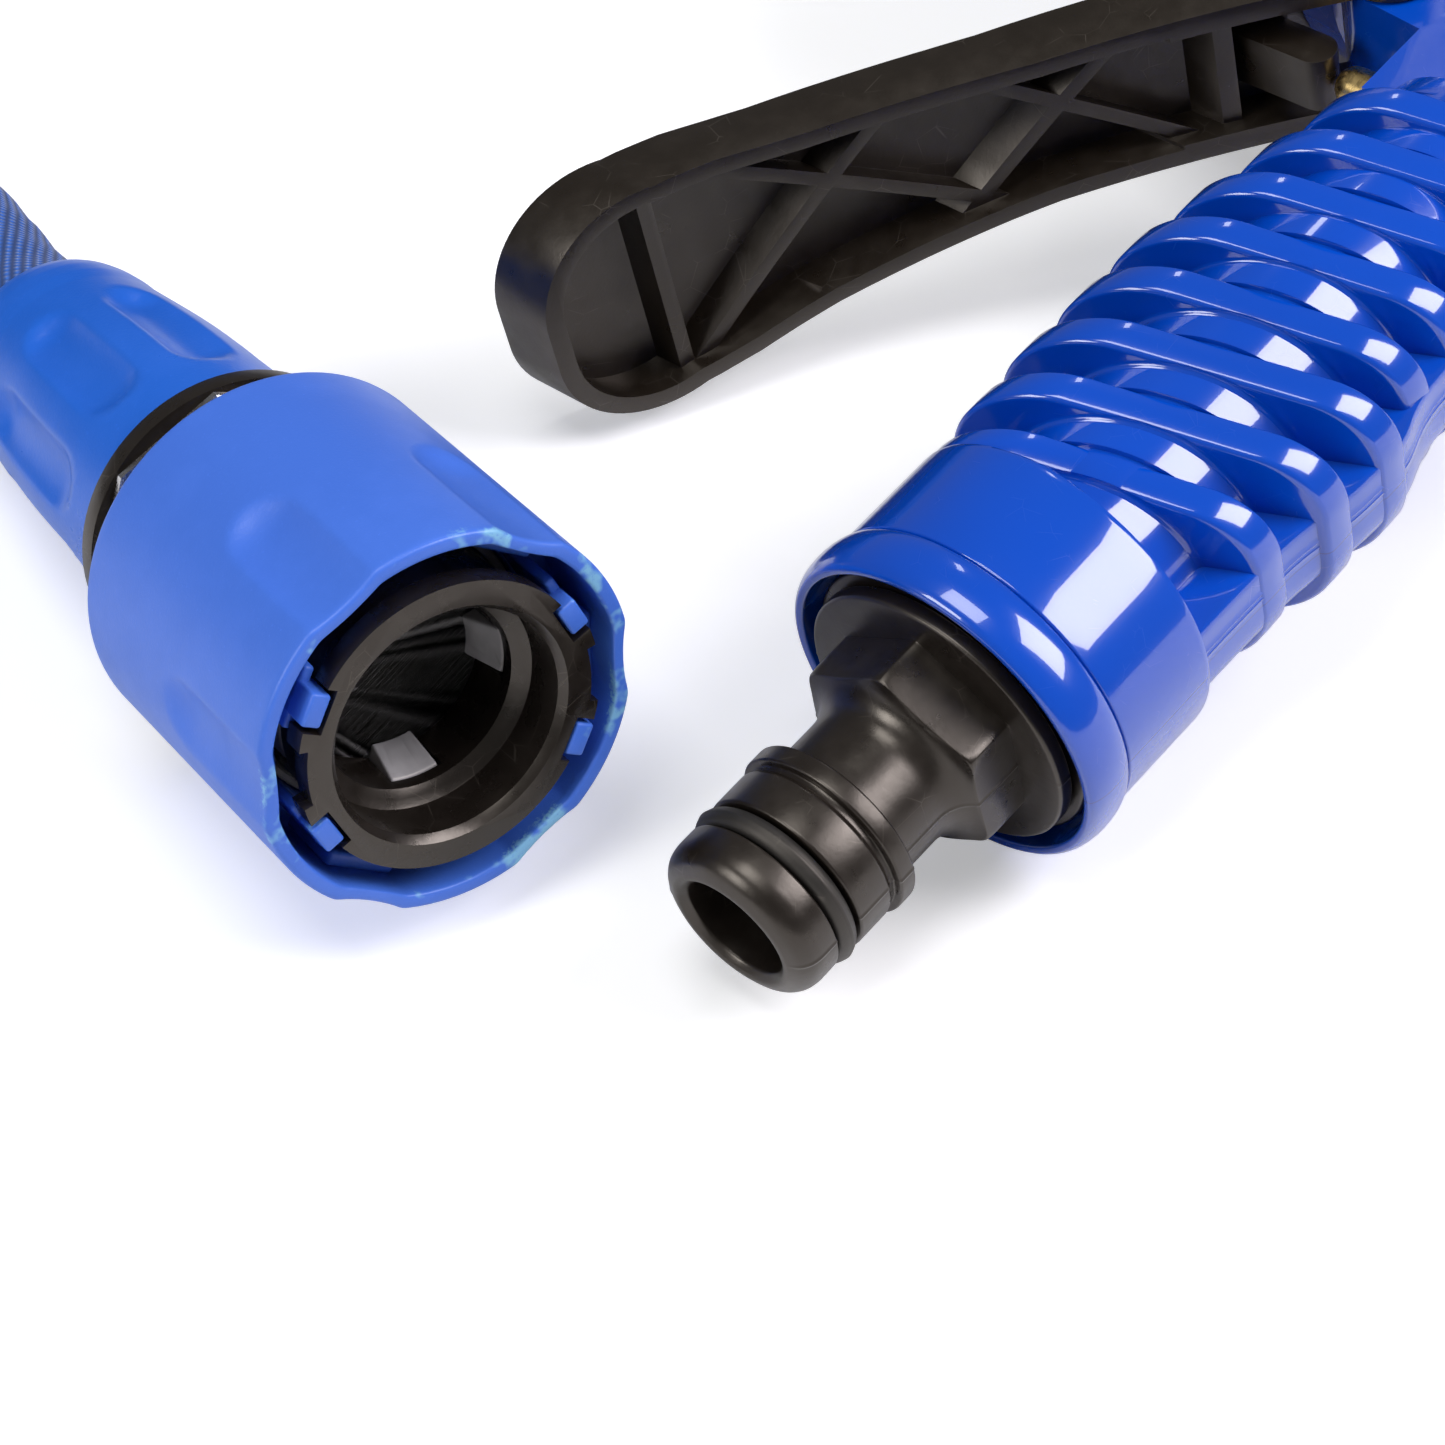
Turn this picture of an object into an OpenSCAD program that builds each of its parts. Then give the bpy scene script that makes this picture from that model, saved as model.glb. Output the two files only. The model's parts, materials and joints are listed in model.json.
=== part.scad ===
// Expandable garden hose set: a woven hose with a quick coupler on each end,
// and a pistol spray gun whose click nipple fits either coupler.
// Millimetres, +Z up, floor at z = 0, origin under the middle of the coupler and gun.

/* [Coupler body] */
// Radius of the straight guide in the mouth, which takes the hub of a nipple
mouth_r = 10.4; // [10.2:0.05:10.6]
// Length of the straight guide in the mouth
mouth_len = 4.2; // [3.8:0.1:4.8]
// Radius of the bore that the claws reach into
claw_bore_r = 8.9; // [8.75:0.05:9]
// Radius of the bore that seals on the nipple's ring
seal_bore_r = 8.2; // [8.1:0.05:8.3]
// Length of the sealing bore
seal_bore_len = 11.4; // [11:0.1:13]
// Radius of the waterway through the body and its hose tail
waterway_r = 3.4; // [2.5:0.1:3.6]
// Outer radius of the body tube that the sleeve slides on
tube_r = 11.95; // [11.5:0.05:12.1]
// Radius of the flange round the mouth
mouth_flange_r = 13.2; // [13:0.1:13.4]
// Thickness of the flange round the mouth
mouth_flange_t = 2.2; // [1.8:0.1:2.6]
// How far the body stands in front of the sleeve's rim
body_proud = 0.4; // [0.2:0.1:0.8]
// Radius of the rear flange
rear_flange_r = 14.1; // [13.8:0.1:14.6]
// Thickness of the rear flange
rear_flange_t = 1.8; // [1.4:0.1:2.4]
// Radius of the threaded spigot under the nut
spigot_r = 9.9; // [9.5:0.1:10]
// Length of the threaded spigot
spigot_len = 11; // [9:0.5:12]
// Radius of the hose tail
tail_r = 4.6; // [4.4:0.1:4.8]
// Length of the hose tail
tail_len = 15; // [12:0.5:18]

/* [Locking claws] */
// Number of claws round the bore
claw_count = 4; // [2:1:4]
// Angle that one claw covers
claw_angle = 28; // [20:1:28]
// Radius that the claws close to, behind the ridge of a nipple
claw_tip_r = 7.7; // [7.3:0.1:8.0]
// Distance of the claws' front edge behind the rim
claw_front = 6.9; // [6.6:0.1:7.4]
// Length of a claw along the axis
claw_len = 4.7; // [4:0.1:5]
// Wall of the ring that joins the claws
claw_ring_t = 0.85; // [0.7:0.05:0.9]
// Length of the ring that joins the claws
claw_ring_len = 2; // [1.5:0.1:2.4]
// Play round each claw in its window
claw_play = 0.35; // [0.25:0.05:0.45]

/* [Release sleeve] */
// Outer radius of the sleeve
sleeve_r = 17.45; // [17:0.05:18.5]
// Length of the sleeve
sleeve_len = 31.1; // [29:0.1:33]
// Wall at the open front rim
rim_wall = 1.4; // [1.2:0.1:1.8]
// Depth of the open cup in front of the cam
cup_depth = 10; // [9.6:0.1:10.2]
// Length of the cam bore over the claw ring
cam_len = 4.8; // [4.4:0.1:5.2]
// Length of the land that slides on the body tube
land_len = 4.2; // [3.5:0.1:5]
// Travel of the sleeve
sleeve_travel = 4.5; // [3.5:0.1:5]
// Running clearance of the land on the tube
slide_play = 0.08; // [0.05:0.01:0.1]
// Number of thumb scallops
scallop_count = 6; // [4:1:8]
// Length of a thumb scallop from the rim
scallop_len = 16; // [10:0.5:20]
// Depth of a thumb scallop
scallop_depth = 1.25; // [0.8:0.05:1.4]
// Radius across a thumb scallop
scallop_r = 9; // [7:0.5:12]
// Width of the stop hooks
hook_w = 3; // [2.4:0.1:3.2]
// Angle from the middle of a pair of hooks to each hook
hook_spread = 27; // [24:1:27]
// Inner radius of the hook tips
hook_tip_r = 12.4; // [12.2:0.1:12.7]
// Outer radius of the hooks
hook_out_r = 14.2; // [14:0.1:14.4]

/* [Coupler spring] */
// Wire radius of the sleeve's spring
sleeve_wire_r = 0.6; // [0.4:0.05:0.7]
// Curls of the sleeve's spring
sleeve_curls = 5; // [4:1:8]

/* [Hose nut] */
// Radius of the nut at its front
nut_front_r = 12.3; // [12.2:0.1:13.2]
// Radius of the nut where its tail starts to round off
nut_tail_r = 10.7; // [10.4:0.1:11.2]
// Radius of the nut's end face
nut_end_r = 8.5; // [8.4:0.1:9]
// Distance from the nut's front to where its tail starts to round off
nut_grip_len = 28.6; // [28:0.2:31]
// Length of the whole nut
nut_len = 36.2; // [35:0.2:38]
// Number of finger scoops
scoop_count = 8; // [5:1:9]
// Length of a finger scoop
scoop_len = 16.5; // [12:0.5:18]
// Depth of a finger scoop
scoop_depth = 1.3; // [0.6:0.1:1.5]
// Radius across a finger scoop
scoop_r = 4.4; // [3.5:0.1:5]
// Running clearance of the nut on its thread
thread_play = 0.08; // [0.05:0.01:0.1]

/* [Hose] */
// Outer radius of the woven hose, slack
hose_r = 7.5; // [7.2:0.1:7.6]
// Outer radius of the rubber lining
lining_r = 5.9; // [5.5:0.1:6.2]
// How far the hose's cuff shows behind the nut
cuff_out = 1.5; // [1:0.1:3]
// Radius of the coil's outer turns, to the middle of the hose
coil_r = 94; // [92:1:100]
// Pitch from turn to turn
coil_pitch = 16; // [15.6:0.1:17]
// Height from layer to layer
coil_rise = 15.7; // [15.6:0.1:16.5]
// Turns of each layer, apart from the half turn that climbs
layer_turns = 2; // [1:1:4]
// Place of the middle of the coil on the floor, across
coil_x = 14; // [5:1:20]
// Place of the middle of the coil on the floor, deep
coil_y = 234; // [230:1:245]

/* [Click nipple] */
// Radius of the nipple's bore
nipple_bore_r = 5; // [4.5:0.1:5.2]
// Distance from the flange face to the nipple's tip
nipple_len = 26.3; // [25:0.1:27.5]
// Radius of the bead at the tip
bead_r = 7.95; // [7.6:0.05:8]
// Radius of the collar behind the ring's groove
collar_r = 8.1; // [7.9:0.05:8.15]
// Radius of the ridge that the claws lock behind
ridge_r = 8.5; // [8.35:0.05:8.6]
// Distance from the flange face to the back of the ridge
ridge_back = 12.8; // [12.3:0.1:13.3]
// Width of the ridge
ridge_w = 2; // [1.4:0.1:2.4]
// Radius of the neck behind the ridge
neck_r = 6.95; // [6.6:0.05:7.2]
// Width of the hexagon across its flats
hex_af = 17.8; // [17:0.1:17.9]
// Length of the hexagon in front of the flange
hex_len = 4.9; // [4.5:0.1:5.2]
// Radius of the front flange
flange_r = 13.3; // [12.8:0.1:13.8]
// Radius of the rear flange
flange_back_r = 14.1; // [13.6:0.1:14.4]
// Section radius of the O-ring
o_ring_r = 1.1; // [0.9:0.05:1.2]
// Outer radius of the O-ring
o_ring_out_r = 8.32; // [8.2:0.01:8.4]

/* [Handle] */
// Outer radius of the end ring's bead
ring_r = 16.5; // [16:0.1:17.5]
// Radius of the end ring's opening
ring_in_r = 15; // [14.6:0.1:15.2]
// Radius of the plain band
band_r = 15.9; // [15.5:0.1:16.2]
// Distance from the flange face to the end of the plain band
band_end = 17.4; // [16:0.1:19]
// Radius of the smooth core between the fins
core_r = 12.2; // [11.5:0.1:12.4]
// Number of fins
fin_count = 8; // [5:1:8]
// Pitch of the fins along the handle
fin_pitch = 7.2; // [6.5:0.1:7.4]
// Thickness of a fin
fin_t = 3.3; // [2.6:0.1:3.8]
// Place of the first fin's upper edge
fin_start = 22.8; // [21:0.1:23.5]
// Slant of the fins towards the trigger
fin_slant = 21; // [18:1:24]
// Half width of the grip at its widest
grip_half = 14; // [12.5:0.1:14.5]
// Half width of the spine that joins the fins
spine_half = 3.2; // [2.4:0.1:4.5]
// Half thickness of the neck between the fork's arms
neck_half = 7.8; // [7.4:0.1:8.4]

/* [Trigger] */
// Place of the pivot along the handle
pivot_x = 90; // [89:0.5:91]
// Place of the pivot towards the front
pivot_y = 17; // [16:0.5:18]
// Radius of the pivot pin
pin_r = 2; // [1.6:0.1:2.2]
// Radius of the bow of the lever, on the side of the handle
bow_r = 165; // [160:1:170]
// Depth of the lever's channel wall
channel_d = 6.4; // [5.5:0.1:7.5]
// Wall of the lever
lever_wall = 1.8; // [1.4:0.1:2.2]
// Half width of the lever at its free end
lever_tip_half = 13.1; // [12.5:0.1:13.6]
// Half width of the lever at its fork
lever_fork_half = 8.8; // [8.6:0.1:9.4]
// Thickness of each arm of the fork
arm_t = 2.3; // [2:0.1:2.4]
// Radius of the eye at the end of each arm
eye_r = 5.5; // [5:0.1:5.6]

/* [Valve] */
// Place of the valve along the handle
valve_x = 80; // [79:0.5:81]
// Radius of the valve stem
stem_r = 2; // [1.6:0.1:2.2]
// Radius of the valve chamber
chamber_r = 5.2; // [5:0.1:5.3]
// Radius of the valve head
valve_head_r = 4.3; // [4:0.1:4.6]
// Clearance of the stem in its guide
stem_play = 0.06; // [0.04:0.01:0.1]

/* [Spray head] */
// Place of the barrel along the handle
barrel_x = 112; // [110:0.5:114]
// Tilt of the barrel from square to the handle
barrel_tilt = 8; // [4:1:12]
// Outer radius of the barrel
barrel_r = 12.5; // [11.5:0.1:12.6]
// Radius of the fixed head plate
plate_r = 25; // [23:0.5:27]
// Outer radius of the turning dial
dial_r = 34; // [32:0.1:35]
// Number of spray patterns
pattern_count = 8; // [6:1:8]
// Radius of the circle of ports
port_circle_r = 13.5; // [13:0.5:14.5]
// Number of thumb lobes round the dial
lobe_count = 16; // [8:1:24]
// Running clearance of the dial on its boss
dial_play = 0.06; // [0.04:0.01:0.1]

/* [Placement] */
// Roll of the gun towards its trigger
gun_roll = 5; // [3:0.5:7]
// Place of the gun's flange on the floor, across
gun_x = -51.4; // [-60:0.5:-30]
// Place of the gun's flange on the floor, deep
gun_y = -37.8; // [-50:0.5:-25]
// Place of the coupler's rim from the gun's flange, across
coupler_dx = -31.7; // [-40:0.1:-30]
// Place of the coupler's rim from the gun's flange, deep
coupler_dy = 25.1; // [22:0.1:30]
// Heading of the coupler's mouth
mouth_heading = -105; // [-115:1:-95]

/* [Hidden] */
$fn = 96;

blue = [0.02, 0.22, 0.72];
light_blue = [0.22, 0.44, 0.85];
black = [0.12, 0.11, 0.10];
grey = [0.78, 0.78, 0.80];
rubber = [0.06, 0.06, 0.06];
steel = [0.72, 0.72, 0.74];
brass = [0.80, 0.64, 0.30];
weave = [0.10, 0.30, 0.68];

gap = 0.1;    // play between pieces that lie against each other
far = 100;    // longer than any cut needs

// ---- coupler, along +Z out of the mouth, with the sleeve's rim at z = 0 ----
face_z = body_proud;
guide_z = face_z - 0.7;
guide_end_z = guide_z - mouth_len;
claw_z = -claw_front;
claw_end_z = claw_z - claw_len;
seal_z = claw_end_z - 3.4;
seal_end_z = seal_z - seal_bore_len;
sleeve_end_z = -sleeve_len;
rear_flange_z = sleeve_end_z - sleeve_travel - 1.5;
spigot_z = rear_flange_z - rear_flange_t;
tail_z = spigot_z - spigot_len;
tail_end_z = tail_z - tail_len;
nut_z = spigot_z - 0.2;
nut_end_z = nut_z - nut_len;
nut_grip_z = nut_z - nut_grip_len;
function nut_tail_at(a) = nut_end_r + (nut_tail_r - nut_end_r) * cos(a);
function nut_tail_z_at(a) = nut_grip_z - (nut_len - nut_grip_len) * sin(a);
cuff_end_z = nut_end_z - cuff_out;
hook_z = face_z - mouth_flange_t - gap;
lug_angle = 8;
notch_w = hook_w + 1;
notch_half_angle = notch_w / 2 / mouth_flange_r * 180 / PI;
lug_spread = hook_spread - notch_half_angle - lug_angle / 2 + 1;
lug_r = mouth_flange_r + 0.8;
claw_ring_r = tube_r + gap + claw_ring_t;
cam_r = claw_ring_r + gap;
bump_z = -3.2;
bump_r = 14.1;
cup_r = sleeve_r - rim_wall;
land_z = -cup_depth - cam_len;
land_end_z = land_z - land_len;
spring_room_r = rear_flange_r + 1.1;
cuff_r = hose_r;
collet_in_r = cuff_r + 0.05;
nut_bore_r = nut_tail_r - 1.2;
scallop_turn = 25;
claw_turn = -5;
hook_turn = 85;
scoop_turn = 24.4;

// the coupler rests on the rear edge of its sleeve and on the round of the nut's tail
edge = 0.5;
sleeve_rest_z = sleeve_end_z + edge;
coupler_tilt = min([for (a = [0 : 90])
  atan2(sleeve_r - nut_tail_at(a), sleeve_rest_z - nut_tail_z_at(a))]);
coupler_z = sleeve_r * cos(coupler_tilt) - sleeve_rest_z * sin(coupler_tilt);
hose_heading = mouth_heading + 180;

// ---- gun, handle along +X towards the head, trigger towards +Y ----
flare_r = 3.1;
flare_x = hex_len + flare_r;
spigot_x = 14;
nipple_spigot_r = 8.2;
groove_w = 2 * o_ring_r + 0.4;
groove_r = o_ring_out_r - 2 * o_ring_r - 0.03;
groove_x = nipple_len - 6.9;
bead_x = groove_x + groove_w;
seat_x = 4.4;          // floor of the cavity behind the flanges
flange_t = 1.6;
flange_gap = 0.5;
neck_x = 76;
neck_back = 13;
neck_front = 10;
grip_end = fin_start + (fin_count - 1) * fin_pitch;
slant_run = tan(fin_slant);

// how far the grip's outline reaches to the front and to the back, by the fin's place
front_reach = [[15, 13.4], [30, 14.5], [37, 14.8], [51, 14.7], [60, 13.6], [69, 11.7], [76, 10.7]];
back_reach = [[15, 15], [24, 15.2], [30, 16.5], [37, 16.9], [43, 15], [60, 14.3], [76, 13.4]];
half_reach = [[15, 0.95], [35, 1], [50, 1], [66, 0.9], [76, 0.82]];

// the lever's bow: a circle about a point behind the handle
bow_mid = [45, 45.5];
bow_slope = 27.5;
bow_c = bow_mid - bow_r * [sin(bow_slope), cos(bow_slope)];
tip_x = 14.3;
tip_round = 10.6;
waist_x = 60;
web_end_x = 83;
pad_r = 2;
pad_y = pivot_y + pad_r;
stem_tip_y = pad_y - pad_r - 0.3;
seat_y = -3;
chamber_end = 18;
stem_seal_y = 6.6;
throat_y = 3.4;

barrel_back = -19;
barrel_cap = 6;
cone_len = 8.5;
plate_z = 22;
plate_top_z = plate_z + 5;
dial_z = plate_top_z + 0.3;
dial_t = 3;
dial_depth = 23;
dial_rim_t = 3.4;
dial_in_r = dial_r - dial_rim_t;
boss_r = 5;
boss_end_z = dial_z + 12;
hub_r = 7.4;
hub_end_z = boss_end_z - gap;
seal_groove_r = boss_r + 2.1;
seal_floor_z = plate_top_z - 0.85;
port_r = 2.4;
port_seal_r = 4.2;
port_floor_z = plate_z + 1.4;
detent_at = port_circle_r + 5;
detent_floor_z = plate_z + 0.8;
ball_r = 1.5;
ball_z = dial_z - 1;
dimple_d = 0.5;        // depth of the dimples below the ball's track
screw_r = 1.68;
screw_head_r = 6.4;
face_z0 = dial_z + 17;
face_t = 2.5;

// ---- how the gun lies: on its ring's bead and on the edge of its dial ----
bead_x_half = 2.6;     // half length and thickness of the ring's bead, and its middle
bead_t = 0.9;
bead_mid_x = 3.2;
dial_edge = dial_z + dial_depth - 1.2;
dial_edge_x = barrel_x + dial_edge * sin(barrel_tilt);
dial_edge_y = dial_edge * cos(barrel_tilt);
// height of the handle's axis at the flange when the ring's bead lies on the floor
function ring_lift(t) = (ring_r - bead_t) * cos(t) - bead_mid_x * sin(t)
  + norm([bead_x_half * sin(t), bead_t * cos(t)]);
// gap under the dial when the gun is tilted by t
function dial_gap(t) = ring_lift(t) + dial_edge_x * sin(t)
  - dial_edge_y * sin(gun_roll) * cos(t)
  - dial_r * sqrt(1 - pow(sin(barrel_tilt) * sin(t) - cos(barrel_tilt) * sin(gun_roll) * cos(t), 2));
function lie_on_dial(t, n) = n == 0 ? t
  : lie_on_dial(t - dial_gap(t) / dial_edge_x * 180 / PI, n - 1);
gun_tilt = lie_on_dial(11, 6);
gun_z = ring_lift(gun_tilt);

// ---- placing ----
module place_at(p, heading)
  translate(p) rotate([0, 0, heading]) rotate([0, 90 - coupler_tilt, 0]) children();
module place_coupler() place_at(coupler_at, mouth_heading) children();
module place_far_coupler() place_at(far_at, far_heading) children();

module place_gun()
  translate([gun_x, gun_y, gun_z]) rotate([0, -gun_tilt, 0]) rotate([-gun_roll, 0, 0]) children();

module along_handle() rotate([0, 90, 0]) children();        // +Z becomes the handle's +X
module along_barrel()
  translate([barrel_x, 0, 0]) rotate([0, 0, -barrel_tilt]) rotate([-90, 0, 0]) children();
module across_valve() translate([valve_x, 0, 0]) rotate([-90, 0, 0]) children();

// ---- small shapes ----
module tube(z0, z1, r_out, r_in) {
  translate([0, 0, min(z0, z1)]) difference() {
    cylinder(h = abs(z1 - z0), r = r_out);
    translate([0, 0, -1]) cylinder(h = abs(z1 - z0) + 2, r = r_in);
  }
}

module rod(z0, z1, r) translate([0, 0, min(z0, z1)]) cylinder(h = abs(z1 - z0), r = r);

module ring_of(count, turn) for (i = [0 : count - 1]) rotate(turn + i * 360 / count) children();

module hook_places() for (side = [0, 180]) for (a = [-1, 1])
  rotate(hook_turn + side + a * hook_spread) children();

// a groove with round ends, cut into a round face of radius r, from z0 to z1
module capsule(z0, z1, r_cut, x) {
  translate([x, 0, z1]) cylinder(h = z0 - z1, r = r_cut);
  translate([x, 0, z0]) sphere(r = r_cut);
  translate([x, 0, z1]) sphere(r = r_cut);
}

// headings along a row of points, and a ring round one of them
function unit(v) = v / norm(v);
function heading_of(p, i) = unit(p[min(i + 1, len(p) - 1)] - p[max(i - 1, 0)]);
function side_of(d) = abs(d[2]) > 0.9 ? unit(cross(d, [1, 0, 0])) : unit(cross(d, [0, 0, 1]));
function ring_points(c, d, r, sides) =
  let (u = side_of(d), v = cross(u, d))
  [for (k = [0 : sides - 1])
    c + r * (sin(k * 360 / sides) * u - cos(k * 360 / sides) * v)];

// a closed tube along points; its ends are square to the headings given, or to the path
module swept_tube(path, r, sides, first_d = undef, last_d = undef) {
  n = len(path);
  d = [for (i = [0 : n - 1]) i == 0 && first_d ? first_d : i == n - 1 && last_d ? last_d
    : heading_of(path, i)];
  points = [for (i = [0 : n - 1]) each ring_points(path[i], d[i], r, sides)];
  walls = [for (i = [0 : n - 2]) for (k = [0 : sides - 1])
    let (a = i * sides + k, b = i * sides + (k + 1) % sides)
    each [[a, b, b + sides], [a, b + sides, a + sides]]];
  first = [for (k = [1 : sides - 2]) [0, k + 1, k]];
  last = [for (k = [1 : sides - 2]) [0, k, k + 1] + (n - 1) * [sides, sides, sides]];
  polyhedron(points = points, faces = concat(walls, first, last));
}

// a spring's wire between two heights, with its ends lying flat
function wire_z(t, curls, z0, z1, flat) =
  t < flat ? z0 : t > curls - flat ? z1 : z0 + (z1 - z0) * (t - flat) / (curls - 2 * flat);
function wire_path(curls, r, z0, z1) = [for (i = [0 : curls * 8])
  let (t = i / 8) [r * cos(360 * t), r * sin(360 * t), wire_z(t, curls, z0, z1, 0.5)]];
module spring(curls, r, wire, z0, z1) swept_tube(wire_path(curls, r, z0, z1), wire, 6);

// ---- coupler pieces ----
module coupler_body_shape() color(black) {
  difference() {
    union() {
      rotate_extrude() polygon([
        [mouth_flange_r, face_z], [mouth_flange_r, face_z - mouth_flange_t],
        [tube_r, face_z - mouth_flange_t], [tube_r, rear_flange_z],
        [rear_flange_r, rear_flange_z], [rear_flange_r, spigot_z], [spigot_r, spigot_z],
        [spigot_r, tail_z], [tail_r, tail_z], [tail_r, tail_end_z + 1],
        [tail_r - 0.6, tail_end_z], [waterway_r, tail_end_z],
        [waterway_r, seal_end_z - 2], [seal_bore_r, seal_end_z], [seal_bore_r, seal_z],
        [claw_bore_r, seal_z + 1.3], [claw_bore_r, guide_end_z - 0.8],
        [mouth_r, guide_end_z], [mouth_r, guide_z], [mouth_r + 0.6, face_z]]);
      for (side = [0, 180]) for (a = [-1, 1]) rotate(hook_turn + side + a * lug_spread)
        sector(face_z - mouth_flange_t, face_z, mouth_flange_r - 1, lug_r, lug_angle);
    }
    hook_places() translate([hook_tip_r - 0.3, -notch_w / 2, face_z - mouth_flange_t - 1])
      cube([5, notch_w, mouth_flange_t + 2]);
    ring_of(claw_count, claw_turn) sector(claw_end_z - claw_play, claw_z + claw_play,
      claw_bore_r - 2, tube_r + 1, claw_angle + 2 * claw_play / tube_r * 180 / PI);
  }
}

module sector(z0, z1, r0, r1, angle) rotate(-angle / 2)
  rotate_extrude(angle = angle) polygon([[r0, z0], [r1, z0], [r1, z1], [r0, z1]]);

module locking_claws_shape() color(grey) {
  tube(claw_end_z - 1.2, claw_end_z - 1.2 + claw_ring_len, claw_ring_r, tube_r + gap);
  ring_of(claw_count, claw_turn) rotate(-claw_angle / 2) rotate_extrude(angle = claw_angle)
    polygon([[claw_ring_r - 0.1, claw_end_z], [claw_tip_r + 0.3, claw_end_z],
      [claw_tip_r, claw_end_z + 0.4], [claw_tip_r, claw_end_z + 1],
      [claw_bore_r + 0.1, claw_z], [tube_r, claw_z], [tube_r, claw_end_z + claw_ring_len],
      [claw_ring_r - 0.1, claw_end_z + claw_ring_len - 0.5]]);
}

module release_sleeve_shape() color(light_blue) difference() {
  union() {
    difference() {
      rotate_extrude() polygon([
        [cup_r, 0], [sleeve_r - edge, 0], [sleeve_r, -edge],
        [sleeve_r, sleeve_end_z + edge], [sleeve_r - edge, sleeve_end_z],
        [spring_room_r, sleeve_end_z], [spring_room_r, land_end_z],
        [tube_r + slide_play, land_end_z], [tube_r + slide_play, land_z],
        [cam_r, land_z], [cam_r, -cup_depth], [cup_r, -cup_depth]]);
    }
    ring_of(scallop_count, scallop_turn) intersection() {
      tube(bump_z, -cup_depth - 1, cup_r + 0.3, bump_r);
      translate([0, -3.4, -cup_depth - 2]) cube([sleeve_r, 6.8, cup_depth + 2]);
    }
    hook_places() intersection() {
      union() {
        hook_part(-cup_depth - 1.5, hook_z, notch_w + 1.6, cam_r + 0.2);
        hook_part(hook_z - 1.6, hook_z, notch_w + 1.6, hook_tip_r);
        hook_part(hook_z - 1.6, face_z, hook_w, hook_tip_r);
      }
      tube(-cup_depth - 1.5, face_z, hook_out_r, hook_tip_r - 1);
    }
  }
  ring_of(scallop_count, scallop_turn)
    capsule(far, scallop_r / 3 - scallop_len, scallop_r, sleeve_r - scallop_depth + scallop_r);
}

module hook_part(z0, z1, w, r) translate([r, -w / 2, z0]) cube([hook_out_r - r + 1, w, z1 - z0]);

module sleeve_spring_shape() color(steel) spring(sleeve_curls,
  (tube_r + spring_room_r) / 2, sleeve_wire_r,
  land_end_z - sleeve_wire_r - gap, rear_flange_z + sleeve_wire_r + gap);

module hose_nut_shape() color(blue) difference() {
  rotate_extrude() polygon(concat([
      [nut_front_r - 0.4, nut_z], [nut_front_r, nut_z - 0.4], [nut_front_r, nut_z - 10],
      [nut_front_r - 0.4, nut_z - 18]],
    [for (a = [0 : 15 : 90]) [nut_tail_at(a), nut_tail_z_at(a)]],
    [[cuff_r + 0.35, nut_end_z], [cuff_r + 0.35, nut_end_z + 3],
      [nut_bore_r, nut_end_z + 5.5], [nut_bore_r, tail_z - 1],
      [spigot_r + thread_play, tail_z - 1], [spigot_r + thread_play, nut_z]]));
  ring_of(scoop_count, scoop_turn)
    capsule(nut_z - 7.4 - scoop_r / 2, nut_z - 7.4 + scoop_r / 2 - scoop_len, scoop_r,
      nut_front_r - scoop_depth + scoop_r);
}

module hose_collet_shape() color(grey) difference() {
  tube(tail_z - 3, nut_end_z + 6, nut_bore_r - 0.3, collet_in_r);
  ring_of(4, 10) translate([0, -0.6, nut_end_z + 5]) cube([20, 1.2, 9]);
}

module hose_lining_shape() color(grey) tube(tail_z - gap, cuff_end_z, lining_r, tail_r + 0.05);
module hose_cuff_shape() color(weave) tube(tail_z - 2, cuff_end_z, cuff_r, lining_r + 0.05);

// ---- hose: lead, coil and end ----
function along(d) = [cos(d), sin(d), 0];
coupler_at = [gun_x + coupler_dx, gun_y + coupler_dy, coupler_z];
function tail_way(heading) = cos(coupler_tilt) * along(heading) - [0, 0, sin(coupler_tilt)];
function floor_of(p) = [p[0], p[1], 0];
hose_sides = 12;
coil_sides = 6;
coil_step = 15;
cuff_at = coupler_at - cuff_end_z * tail_way(hose_heading);
cuff_gap = 0.2;        // play between a cuff and the hose that goes on from it
cuff_run = 8;          // straight run of the hose behind a cuff
down_run = 15;         // where the hose is down on what it lies on
straight_run = 22;     // where it starts to bend

// the coil: clockwise, inwards in the lower layer, up in half a turn, and outwards again
coil_mid = [coil_x, coil_y, 0];
coil_start = 180;
layer_deg = layer_turns * 360;
coil_deg = 2 * layer_deg + 180;
function ease(t) = t <= 0 ? 0 : t >= 1 ? 1 : t * t * (3 - 2 * t);
function coil_rho(t) = t < layer_deg ? coil_r - coil_pitch * t / 360
  : t > layer_deg + 180 ? coil_rho(coil_deg - t)
  : coil_r - coil_pitch * layer_turns - coil_pitch * sin(t - layer_deg) / 2 / PI;
function coil_h(t) = hose_r + coil_rise * ease((t - layer_deg) / 180);
function coil_point(t) = coil_mid + coil_rho(t) * along(coil_start - t) + [0, 0, coil_h(t)];
function coil_way(t) = along(coil_start - 90 - t);
coil_path = [for (t = [0 : coil_step : coil_deg]) coil_point(t)];
coil_own_gap = min([for (i = [0 : len(coil_path) - 1]) for (j = [i + 9 : 1 : len(coil_path) - 1])
  norm(coil_path[i] - coil_path[j])]) - 2 * hose_r;

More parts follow.
